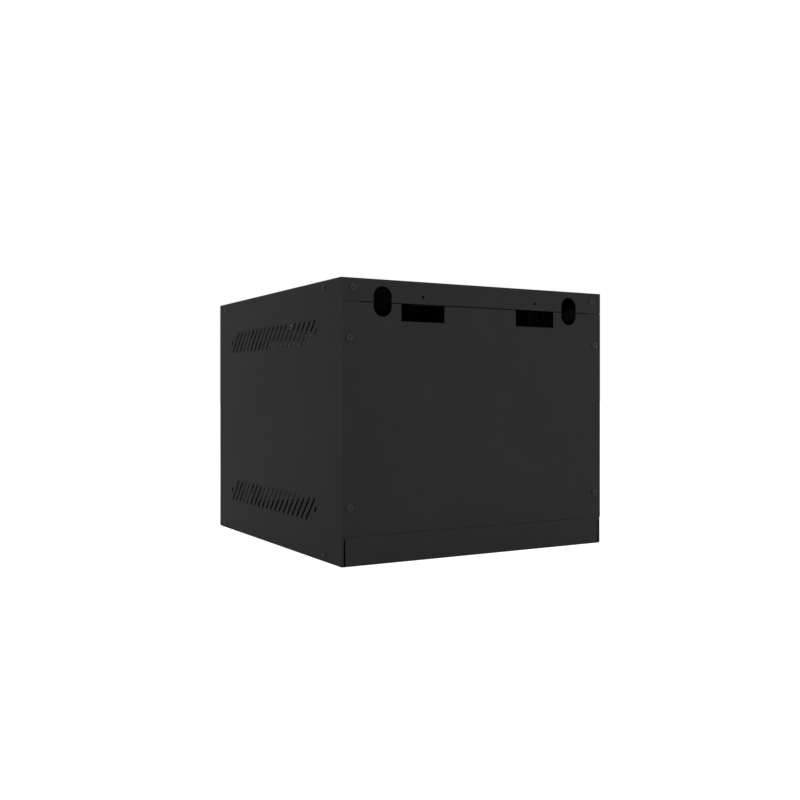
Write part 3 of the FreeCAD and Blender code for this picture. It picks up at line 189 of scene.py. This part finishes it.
def zinc_plate():
    """Bright zinc plating with faint blue and straw tints and fine rub marks."""
    s = Surface("zinc_steel", Metallic=1.0)
    tint = s.noise(70.0, 2.0)
    base = s.mixed(s.ranged(tint, 0.35, 0.65), (0.52, 0.55, 0.60, 1.0), (0.60, 0.58, 0.53, 1.0))
    stain = s.ranged(s.noise(260.0, 4.0, 0.7), 0.55, 0.80, 0.0, 0.45)
    s.feed("Base Color", s.mixed(stain, base, grey(0.34)))
    s.feed("Roughness", s.ranged(s.noise(500.0, 3.0), 0.3, 0.7, 0.24, 0.40))
    normal, _ = s.rounded(0.3 * MM)
    s.relief(s.noise(1800.0, 2.0, place=s.stretched((1.0, 1.0, 0.12))), 0.04 * MM, 0.5, normal)
    return s.material


def satin_chrome():
    s = Surface("lock_chrome", Metallic=1.0)
    haze = s.noise(340.0, 3.0)
    s.feed("Base Color", s.mixed(s.ranged(haze, 0.4, 0.7), grey(0.66), grey(0.52)))
    s.feed("Roughness", s.ranged(haze, 0.3, 0.7, 0.13, 0.26))
    normal, _ = s.rounded(0.3 * MM)
    s.relief(s.noise(2400.0, 2.0), 0.02 * MM, 0.4, normal)
    return s.material


def smoked_glass():
    """Black smoked pane with faint wiping marks in its gloss and little reflection."""
    s = Surface("tinted_glass", IOR=1.2, Transmission_Weight=1.0)
    haze = s.noise(9.0, 3.0, 0.6)
    dark, light = (0.010, 0.011, 0.012, 1.0), (0.015, 0.016, 0.017, 1.0)
    s.feed("Base Color", s.mixed(s.ranged(haze, 0.3, 0.7), dark, light))
    wipes = s.noise(7.0, 4.0, 0.6, place=s.stretched((1.0, 1.0, 3.0)))
    s.feed("Roughness", s.ranged(wipes, 0.4, 0.8, 0.015, 0.07))
    s.relief(s.noise(2.5, 1.0), 0.10 * MM, 0.15)
    return s.material


def foam_rubber():
    s = Surface("foam_rubber", Specular_IOR_Level=0.25)
    pores = s.cells(950.0, "F1")
    base = s.mixed(s.ranged(pores, 0.0, 0.6), grey(0.008), grey(0.022))
    s.feed("Base Color", base)
    s.feed("Roughness", s.ranged(s.noise(300.0), 0.3, 0.7, 0.82, 0.95))
    s.relief(pores, 0.25 * MM, 0.8)
    return s.material


MATERIALS = {
    "black_powder_coat": powder_coat(),
    "black_screws": black_zinc(),
    "zinc_steel": zinc_plate(),
    "lock_chrome": satin_chrome(),
    "tinted_glass": smoked_glass(),
    "foam_rubber": foam_rubber(),
}

for name, item in frame["nodes"].items():
    for slot in item.material_slots:
        slot.material = MATERIALS[slot_of[name]]


# ---------------------------------------------------------------- mesh helpers

def joined(*shells):
    """Several (vertices, faces) pairs as one."""
    vertices, faces = [], []
    for points, polygons in shells:
        start = len(vertices)
        vertices += points
        faces += [tuple(start + index for index in polygon) for polygon in polygons]
    return vertices, faces


def moved(shell, matrix):
    return [tuple(matrix @ Vector(point)) for point in shell[0]], shell[1]


def lofted(rings, ends="cap"):
    """Quads between rings of equal length; ends are capped, or joined to each other."""
    count = len(rings[0])
    vertices = [point for ring in rings for point in ring]
    faces = []
    spans = list(zip(range(len(rings)), range(1, len(rings))))
    if ends == "join":
        spans.append((len(rings) - 1, 0))
    for low, high in spans:
        for k in range(count):
            following = (k + 1) % count
            faces.append((low * count + k, low * count + following, high * count + following, high * count + k))
    if ends == "cap":
        faces.append(tuple(reversed(range(count))))
        faces.append(tuple((len(rings) - 1) * count + k for k in range(count)))
    return vertices, faces


def circle(radius, z, steps=48):
    return [
        (radius * math.cos(2 * math.pi * k / steps), radius * math.sin(2 * math.pi * k / steps), z)
        for k in range(steps)
    ]


def turned(profile, ends="cap", steps=48):
    return lofted([circle(radius, z, steps) for radius, z in profile], ends)


def threaded(radius, depth, pitch, low, high, steps=32):
    """A rod along Z with a helical thread and a chamfer at its low end."""
    rows = max(6, int((high - low) / pitch * 8))
    rings = []
    for row in range(rows + 1):
        z = low + (high - low) * row / rows
        limit = radius - depth * 1.4 + (z - low) * 1.2
        ring = []
        for k in range(steps):
            turn = (z / pitch - k / steps) % 1.0
            r = min(radius - depth * abs(2 * turn - 1), max(limit, radius * 0.6))
            angle = 2 * math.pi * k / steps
            ring.append((r * math.cos(angle), r * math.sin(angle), z))
        rings.append(ring)
    return lofted(rings)


def hexagon_ring(flats, limit, z, steps=72):
    """A hexagon with corners on +-X, cut back to a circle of radius limit."""
    ring = []
    for k in range(steps):
        degrees = 360 * k / steps
        reach = flats / 2 / math.cos(math.radians(degrees % 60 - 30))
        r = min(reach, limit)
        angle = math.radians(degrees)
        ring.append((r * math.cos(angle), r * math.sin(angle), z))
    return ring


def hexagon_rows(flats, chamfered):
    """Rings of a hexagon prism whose ends have the usual turned chamfer."""
    rows = []
    steps = [0.0, 0.12, 0.26, 0.42, 0.6]
    for end, flip in chamfered:
        for step in (steps if not flip else reversed(steps)):
            depth = step * MM
            z = end + (-depth if flip else depth)
            limit = flats / 2 * 0.965 + depth * 1.9
            rows.append((z, limit))
    return [hexagon_ring(flats, limit, z) for z, limit in rows]


def hexagon_nut(flats, height, bore):
    outer = hexagon_rows(flats, ((0.0, False), (height, True)))
    sink = 0.35 * MM
    inner = [
        circle(bore + sink, height, 72),
        circle(bore, height - sink, 72),
        circle(bore, sink, 72),
        circle(bore + sink, 0.0, 72),
    ]
    return lofted(outer + inner, "join")


def mesh_piece(name, shell, sharp=32.0):
    mesh = bpy.data.meshes.new(name)
    mesh.from_pydata([Vector(point) for point in shell[0]], [], shell[1])
    work = bmesh.new()
    work.from_mesh(mesh)
    bmesh.ops.remove_doubles(work, verts=work.verts, dist=1e-7)
    bmesh.ops.recalc_face_normals(work, faces=work.faces)
    work.to_mesh(mesh)
    work.free()
    mesh.shade_smooth()
    mesh.set_sharp_from_angle(angle=math.radians(sharp))
    piece = bpy.data.objects.new(name, mesh)
    bpy.context.scene.collection.objects.link(piece)
    return piece


def carved(shell, cutters):
    """The shell with the cutters taken out of it."""
    target = mesh_piece("carve_target", shell)
    for number, cutter in enumerate(cutters):
        tool = mesh_piece(f"carve_tool_{number}", cutter)
        change = target.modifiers.new(f"cut_{number}", "BOOLEAN")
        change.operation = "DIFFERENCE"
        change.solver = "EXACT"
        change.object = tool
    bpy.context.view_layer.update()
    result = bpy.data.meshes.new_from_object(target.evaluated_get(bpy.context.evaluated_depsgraph_get()))
    shell = ([tuple(v.co) for v in result.vertices], [tuple(p.vertices) for p in result.polygons])
    for item in list(bpy.context.scene.collection.objects):
        if item.name.startswith("carve_"):
            bpy.data.objects.remove(item)
    return shell


def stands_for(piece, node):
    """The detailed piece takes the place, the body and the finish of a CAD node."""
    piece.data.materials.append(MATERIALS[slot_of[node]])
    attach(piece, body_of[node])
    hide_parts(node)
    return piece


def facing(direction, roll=0.0):
    """Rotation that turns local +Z to a direction."""
    turn = Vector(direction).to_track_quat("Z", "Y").to_matrix().to_4x4()
    return turn @ Matrix.Rotation(roll, 4, "Z")


# ---------------------------------------------------------------- screws and nuts

def wedge(length, width, low, high, shrink, roll):
    """One wing of a cross recess, narrower at its foot."""
    rings = []
    for z, share in ((low, shrink), (high, 1.0)):
        a, b = length * share, width * (0.55 + 0.45 * share)
        rings.append([(a, b, z), (-a, b, z), (-a, -b, z), (a, -b, z)])
    return moved(lofted(rings), Matrix.Rotation(roll, 4, "Z"))


def cross_head(radius, height):
    """Truss head on z = 0 with a cross recess."""
    edge = height * 0.22
    profile = [(radius * 0.97, 0.0), (radius, edge * 0.5), (radius, edge)]
    for k in range(1, 9):
        angle = math.radians(90 * k / 9)
        profile.append((radius * math.cos(angle), edge + (height - edge) * math.sin(angle)))
    profile.append((radius * 0.04, height))
    head = turned(profile)
    low, high = height * 0.30, height * 1.05
    wings = [wedge(radius * 0.46, radius * 0.085, low, high, 0.34, math.radians(turn)) for turn in (0, 90)]
    return carved(head, wings)


def screw_group(node, facing_to, head_radius, head_height, shank_radius, pitch, places, seed):
    """Every screw of one CAD node, each turned to where it was tightened."""
    low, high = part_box(node)
    axis = max(range(3), key=lambda k: abs(facing_to[k]))
    outward = facing_to[axis] > 0
    tip = low[axis] if outward else high[axis]
    crown = high[axis] if outward else low[axis]
    seat = crown - head_height if outward else crown + head_height
    length = abs(seat - tip)
    head = cross_head(head_radius, head_height)
    shank = threaded(shank_radius, shank_radius * 0.16, pitch, -length, head_height * 0.25)
    shells = []
    for number, point in enumerate(places(low, high, head_radius)):
        centre = Vector(point)
        centre[axis] = seat
        roll = math.radians((seed * 37 + number * 53) % 90)
        shells.append(moved(joined(head, shank), Matrix.Translation(centre) @ facing(facing_to, roll)))
    return stands_for(mesh_piece(f"{node}_cross_recess", joined(*shells)), node)


def pair_along_x(low, high, reach):
    z = (low.z + high.z) / 2
    return [(low.x + reach, 0.0, z), (high.x - reach, 0.0, z)]


def four_on_rear(low, high, reach):
    return [(x, 0.0, z) for x in (low.x + reach, high.x - reach) for z in (low.z + reach, high.z - reach)]


def four_on_side(low, high, reach):
    return [(0.0, y, z) for y in (low.y + reach, high.y - reach) for z in (low.z + reach, high.z - reach)]


def one_in_door(low, high, reach):
    return [((low.x + high.x) / 2, 0.0, (low.z + high.z) / 2)]


def four_on_floor(low, high, reach):
    return [(x, y, 0.0) for x in (low.x + reach, high.x - reach) for y in (low.y + reach, high.y - reach)]


BIG = (7.2 * MM, 3.2 * MM, 2.9 * MM, 1.0 * MM)
SMALL = (4.6 * MM, 1.6 * MM, 1.9 * MM, 0.7 * MM)
screw_group("strip_screws", (0, 1, 0), *BIG, pair_along_x, 1)
screw_group("rear_panel_screws", (0, 1, 0), *BIG, four_on_rear, 2)
screw_group("side_screws_right", (1, 0, 0), *SMALL, four_on_side, 3)
screw_group("side_screws_left", (-1, 0, 0), *SMALL, four_on_side, 4)
screw_group("top_cover_screws", (0, 0, -1), *SMALL, four_on_floor, 5)
screw_group("bottom_cover_screws", (0, 0, 1), *SMALL, four_on_floor, 6)
screw_group("cam_screw", (0, 1, 0), *SMALL, one_in_door, 7)


def nut_group(node, axis, flats, bore, corner_axis, count):
    """Every nut of one CAD node; corner_axis is the direction its corners point in."""
    low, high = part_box(node)
    height = high[axis] - low[axis]
    shell = hexagon_nut(flats, height, bore)
    across_corner = flats / math.sqrt(3)
    reach = [flats / 2] * 3
    reach[corner_axis] = across_corner
    others = [k for k in range(3) if k != axis]
    direction = [0, 0, 0]
    direction[axis] = 1
    turn = Matrix.Identity(3)
    corner = Vector([1.0 if k == corner_axis else 0.0 for k in range(3)])
    along = Vector(direction)
    turn = Matrix((corner, along.cross(corner), along)).transposed().to_4x4()
    shells = []
    for first in ((low, high) if count[0] > 1 else (None,)):
        for second in ((low, high) if count[1] > 1 else (None,)):
            centre = Vector((0.0, 0.0, 0.0))
            centre[axis] = low[axis]
            for k, end in zip(others, (first, second)):
                if end is None:
                    centre[k] = (low[k] + high[k]) / 2
                else:
                    centre[k] = end[k] + reach[k] if end is low else end[k] - reach[k]
            shells.append(moved(shell, Matrix.Translation(centre) @ turn))
    return stands_for(mesh_piece(f"{node}_chamfered", joined(*shells)), node)


nut_group("strip_screw_nuts", 1, 10 * MM, 3.05 * MM, 0, (2, 1))
nut_group("rear_panel_nuts", 1, 10 * MM, 3.05 * MM, 0, (2, 2))
for hand in ("left", "right"):
    nut_group(f"side_nuts_{hand}", 0, 7 * MM, 2.05 * MM, 2, (2, 2))
    for end in ("front", "rear"):
        nut_group(f"rail_nuts_{end}_{hand}", 0, 10 * MM, 3.15 * MM, 2, (1, 2))
nut_group("earth_nut", 2, 10 * MM, 3.15 * MM, 0, (1, 1))
nut_group("lock_nut", 1, 22 * MM, 9.35 * MM, 0, (1, 1))


def rail_bolts(end, hand):
    """Hexagon bolts through a rail and its carriers."""
    node = f"rail_bolts_{end}_{hand}"
    low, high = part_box(node)
    side = 1 if hand == "right" else -1
    inner = low.x if side > 0 else -high.x
    outer = high.x if side > 0 else -low.x
    flats, head = 10 * MM, 4 * MM
    rows = [
        hexagon_ring(flats, flats / 2 * 0.965 + d * 1.9 * MM, -d * MM)
        for d in (0.0, 0.15, 0.3, 0.45, 0.6)
    ]
    rows = [[(x, y, head + z) for x, y, z in ring] for ring in rows]
    rows.append(hexagon_ring(flats, flats, 0.0))
    shank = threaded(3.0 * MM, 0.45 * MM, 1.0 * MM, -(outer - inner - head), head * 0.5)
    shell = joined(lofted(rows), shank)
    turn = Matrix(((0, 0, -side), (0, 1, 0), (side, 0, 0))).to_4x4()
    y = (low.y + high.y) / 2
    reach = flats / math.sqrt(3)
    shells = []
    for z in (low.z + reach, high.z - reach):
        centre = Vector((side * (inner + head), y, z))
        shells.append(moved(shell, Matrix.Translation(centre) @ turn))
    stands_for(mesh_piece(f"{node}_hexagon_head", joined(*shells)), node)


for end in ("front", "rear"):
    for hand in ("left", "right"):
        rail_bolts(end, hand)


# ---------------------------------------------------------------- turned pieces

def centred(node):
    low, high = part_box(node)
    return low, high, (low + high) / 2


def hinge_pin(node, upward):
    """Collared pivot pin with a chamfered tip."""
    low, high, middle = centred(node)
    length = high.z - low.z
    collar, chamfer = 2.2 * MM, 0.5 * MM
    profile = [
        (4.3 * MM, 0.0), (4.5 * MM, 0.2 * MM), (4.5 * MM, collar - 0.2 * MM), (4.3 * MM, collar),
        (2.5 * MM, collar), (2.5 * MM, length - chamfer), (2.5 * MM - chamfer, length),
    ]
    turn = Matrix.Identity(4) if upward else Matrix.Rotation(math.pi, 4, "X")
    centre = Vector((middle.x, middle.y, low.z if upward else high.z))
    shell = moved(turned(profile), Matrix.Translation(centre) @ turn)
    stands_for(mesh_piece(f"{node}_turned", shell), node)


hinge_pin("hinge_pin_lower", True)
hinge_pin("hinge_pin_upper", False)

low, high, middle = centred("earth_stud")
stud = threaded(3.0 * MM, 0.45 * MM, 1.0 * MM, -(high.z - low.z), 0.0)
stud_turn = Matrix.Translation((middle.x, middle.y, low.z)) @ Matrix.Rotation(math.pi, 4, "X")
stands_for(mesh_piece("earth_stud_threaded", moved(stud, stud_turn)), "earth_stud")

low, high, middle = centred("earth_washer")
thick = high.z - low.z
washer_rows = [
    (5.8 * MM, 0.0), (6.0 * MM, 0.2 * MM), (6.0 * MM, thick - 0.2 * MM), (5.8 * MM, thick),
    (3.35 * MM, thick), (3.15 * MM, thick - 0.2 * MM), (3.15 * MM, 0.2 * MM), (3.35 * MM, 0.0),
]
washer = moved(turned(washer_rows, "join"), Matrix.Translation((middle.x, middle.y, low.z)))
stands_for(mesh_piece("earth_washer_turned", washer), "earth_washer")


def lock_front():
    """Lock barrel with its rounded flange and thread, and the plug with the key slot."""
    low, high, middle = centred("lock_body")
    front, back = low.y, high.y
    flange = 4.2 * MM
    length = back - front
    rings = [circle(r, z, 72) for r, z in (
        (6.9 * MM, 0.5 * MM), (7.3 * MM, 0.15 * MM), (7.9 * MM, 0.0), (10.4 * MM, 0.0), (11.2 * MM, 0.25 * MM),
        (11.8 * MM, 0.85 * MM), (12.0 * MM, 1.6 * MM), (12.0 * MM, flange - 0.2 * MM), (11.8 * MM, flange),
    )]
    first, last = flange, length
    rows = int((last - first) / (1.0 * MM) * 6)
    for row in range(rows + 1):
        z = first + (last - first) * row / rows
        ring = []
        for k in range(72):
            turn = (z / (1.0 * MM) - k / 72) % 1.0
            r = 9.2 * MM - 0.45 * MM * abs(2 * turn - 1)
            angle = 2 * math.pi * k / 72
            ring.append((r * math.cos(angle), r * math.sin(angle), z))
        rings.append(ring)
    rings.append(circle(6.58 * MM, length, 72))
    rings.append(circle(6.58 * MM, 0.8 * MM, 72))
    turn = Matrix.Translation((middle.x, front, middle.z)) @ Matrix.Rotation(-math.pi / 2, 4, "X")
    stands_for(mesh_piece("lock_body_threaded", moved(lofted(rings, "join"), turn)), "lock_body")

    low, high, middle = centred("lock_plug")
    length = high.y - low.y
    neck = 2.5 * MM
    profile = [
        (0.5 * MM, 0.0), (4.6 * MM, 0.0), (4.75 * MM, 0.12 * MM), (4.9 * MM, 0.0), (6.1 * MM, 0.0), (6.5 * MM, 0.4 * MM),
        (6.5 * MM, length - neck), (3.25 * MM, length - neck), (3.25 * MM, length),
    ]
    slot = lofted([
        [(0.8 * MM, 4.0 * MM, z), (-0.8 * MM, 4.0 * MM, z), (-0.8 * MM, -4.0 * MM, z), (0.8 * MM, -4.0 * MM, z)]
        for z in (-1.0 * MM, 6.0 * MM)
    ])
    mouth = lofted([
        [(a, b, z), (-a, b, z), (-a, -b, z), (a, -b, z)]
        for a, b, z in ((1.3 * MM, 4.4 * MM, -0.3 * MM), (0.8 * MM, 3.9 * MM, 0.5 * MM))
    ])
    screw_bore = turned([(2.05 * MM, length - 10.0 * MM), (2.05 * MM, length + 1.0 * MM)])
    plug = carved(turned(profile, steps=72), [slot, mouth, screw_bore])
    turn = Matrix.Translation((middle.x, low.y, middle.z)) @ Matrix.Rotation(-math.pi / 2, 4, "X")
    stands_for(mesh_piece("lock_plug_slotted", moved(plug, turn)), "lock_plug")


lock_front()


# ---------------------------------------------------------------- seals and glass

def ring_strip(node, inner_x, inner_z, section):
    """A strip of constant section round a rectangle; section holds (outwards, depth) pairs."""
    low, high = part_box(node)
    middle_x, middle_z = (low.x + high.x) / 2, (low.z + high.z) / 2
    rings = []
    for sign_x, sign_z in ((1, 1), (-1, 1), (-1, -1), (1, -1)):
        rings.append([
            (middle_x + sign_x * (inner_x + out), high.y - depth, middle_z + sign_z * (inner_z + out))
            for out, depth in section
        ])
    return stands_for(mesh_piece(f"{node}_strip", lofted(rings, "join"), 50.0), node)


low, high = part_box("door_seal")
seal_width, seal_depth = 10.0 * MM, high.y - low.y
seal_section = [(0.0, 0.0), (0.0, seal_depth * 0.45)]
for k in range(1, 8):
    angle = math.pi * k / 8
    seal_section.append((
        seal_width / 2 - seal_width / 2 * math.cos(angle),
        seal_depth * (0.45 + 0.55 * math.sin(angle)),
    ))
seal_section += [(seal_width, seal_depth * 0.45), (seal_width, 0.0)]
ring_strip("door_seal", (high.x - low.x) / 2 - seal_width, (high.z - low.z) / 2 - seal_width, seal_section)

low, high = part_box("glass_gasket")
gasket_width, gasket_depth = 8.0 * MM, high.y - low.y
gasket_section = [
    (0.4 * MM, 0.0), (0.0, gasket_depth / 2), (0.4 * MM, gasket_depth),
    (gasket_width, gasket_depth), (gasket_width, 0.0),
]
half_x, half_z = (high.x - low.x) / 2, (high.z - low.z) / 2
ring_strip("glass_gasket", half_x - gasket_width, half_z - gasket_width, gasket_section)


def rounded_outline(half_x, half_z, radius, y, steps=8):
    points = []
    for sign_x, sign_z, start in ((1, 1, 0), (-1, 1, 90), (-1, -1, 180), (1, -1, 270)):
        for k in range(steps + 1):
            angle = math.radians(start + 90 * k / steps)
            points.append((
                sign_x * (half_x - radius) + radius * math.cos(angle),
                y,
                sign_z * (half_z - radius) + radius * math.sin(angle),
            ))
    return points


low, high, middle = centred("door_glass")
arris = 0.6 * MM
half_x, half_z = (high.x - low.x) / 2, (high.z - low.z) / 2
pane_rings = [
    rounded_outline(half_x - inset, half_z - inset, 4.0 * MM, y)
    for inset, y in ((arris, low.y), (0.0, low.y + arris), (0.0, high.y - arris), (arris, high.y))
]
pane = moved(lofted(pane_rings), Matrix.Translation((middle.x, 0.0, middle.z)))
stands_for(mesh_piece("door_glass_pane", pane, 25.0), "door_glass")


# ---------------------------------------------------------------- studio

def backdrop_rays(tree):
    """1 for the rays that show the backdrop: to the camera, in gloss and through glass."""
    path = tree.nodes.new("ShaderNodeLightPath")
    seen = path.outputs["Is Camera Ray"]
    for kind in ("Is Glossy Ray", "Is Transmission Ray"):
        either = tree.nodes.new("ShaderNodeMath")
        either.operation = "MAXIMUM"
        tree.links.new(seen, either.inputs[0])
        tree.links.new(path.outputs[kind], either.inputs[1])
        seen = either.outputs[0]
    return seen


def white_floor(name, glow, diffuse):
    """Matt floor lifted to white where it is seen, which still keeps a soft shadow."""
    material = bpy.data.materials.new(name)
    material.use_nodes = True
    tree = material.node_tree
    tree.nodes.clear()
    lift = tree.nodes.new("ShaderNodeEmission")
    tree.links.new(backdrop_rays(tree), lift.inputs["Strength"])
    lift.inputs["Color"].default_value = glow
    matt = tree.nodes.new("ShaderNodeBsdfDiffuse")
    matt.inputs["Color"].default_value = diffuse
    both = tree.nodes.new("ShaderNodeAddShader")
    output = tree.nodes.new("ShaderNodeOutputMaterial")
    tree.links.new(lift.outputs[0], both.inputs[0])
    tree.links.new(matt.outputs[0], both.inputs[1])
    tree.links.new(both.outputs[0], output.inputs["Surface"])
    return material


FLOOR_REACH = 30.0
corner = FLOOR_REACH
floor = mesh_piece("floor", (
    [(-corner, -corner, 0.0), (corner, -corner, 0.0), (corner, corner, 0.0), (-corner, corner, 0.0)],
    [(0, 1, 2, 3)],
))
floor.location.z = -0.3 * MM
floor.data.materials.append(white_floor("floor_white", grey(0.80), grey(0.70)))

world = bpy.data.worlds.new("studio")
bpy.context.scene.world = world
world.use_nodes = True
sky = world.node_tree
sky.nodes.clear()
white = sky.nodes.new("ShaderNodeBackground")
white.inputs["Color"].default_value = (1.0, 1.0, 1.0, 1.0)
white.inputs["Strength"].default_value = 1.0
soft = sky.nodes.new("ShaderNodeBackground")
soft.inputs["Color"].default_value = (1.0, 1.0, 1.0, 1.0)
soft.inputs["Strength"].default_value = 0.84
choice = sky.nodes.new("ShaderNodeMixShader")
result = sky.nodes.new("ShaderNodeOutputWorld")
sky.links.new(backdrop_rays(sky), choice.inputs[0])
sky.links.new(soft.outputs[0], choice.inputs[1])
sky.links.new(white.outputs[0], choice.inputs[2])
sky.links.new(choice.outputs[0], result.inputs["Surface"])


SOFTBOX_SIZE = 2.0
SOFTBOX_DISTANCE = 2.8
AIM = Vector((0.0, 0.0, 0.25))


def softbox(name, azimuth, elevation, power, distance=SOFTBOX_DISTANCE, size=SOFTBOX_SIZE):
    """Area lamp aimed at the middle of the cabinet; azimuth 0 is in front of the door."""
    light = bpy.data.lights.new(name, "AREA")
    light.shape = "RECTANGLE"
    light.size = light.size_y = size
    light.energy = power
    lamp = bpy.data.objects.new(name, light)
    bpy.context.scene.collection.objects.link(lamp)
    a, e = math.radians(azimuth), math.radians(elevation)
    back = Vector((math.sin(a) * math.cos(e), -math.cos(a) * math.cos(e), math.sin(e)))
    lamp.location = AIM + back * distance
    lamp.rotation_euler = (-back).to_track_quat("-Z", "Y").to_euler()
    lamp.visible_camera = False


softbox("softbox_top", 0.0, 88.0, 6.0, distance=2.6, size=2.4)
softbox("softbox_rear_left", 200.0, 2.0, 34.0)
softbox("softbox_front_right", 12.0, 38.0, 14.0)
softbox("softbox_front_left", 288.0, 38.0, 14.0)

bpy.context.scene.view_settings.view_transform = "Standard"


# ---------------------------------------------------------------- camera

SENSOR = 36.0
FOCAL_PIXELS = 928.1
IMAGE_SIDE = 800.0
MIDDLE_POINT = (340.2, 395.36)
NEAR_CORNER = Vector((0.3, 0.3, 0.3014))
CAMERA_TO_CORNER = 1621.7 * MM       # along the line of sight
CORNER_TO_RIGHT = 1.9 * MM
turn = math.radians(27.84)
right = Vector((-math.cos(turn), math.sin(turn), 0.0))
forward = Vector((-math.sin(turn), -math.cos(turn), 0.0))
lens = bpy.data.cameras.new("camera")
lens.sensor_width = SENSOR
lens.lens = FOCAL_PIXELS / IMAGE_SIDE * SENSOR
lens.shift_x = (IMAGE_SIDE / 2 - MIDDLE_POINT[0]) / IMAGE_SIDE
lens.shift_y = (MIDDLE_POINT[1] - IMAGE_SIDE / 2) / IMAGE_SIDE
lens.clip_start = 0.01
camera = bpy.data.objects.new("camera", lens)
bpy.context.scene.collection.objects.link(camera)
camera.location = NEAR_CORNER - right * CORNER_TO_RIGHT - forward * CAMERA_TO_CORNER
camera.rotation_euler = forward.to_track_quat("-Z", "Y").to_euler()
bpy.context.scene.camera = camera
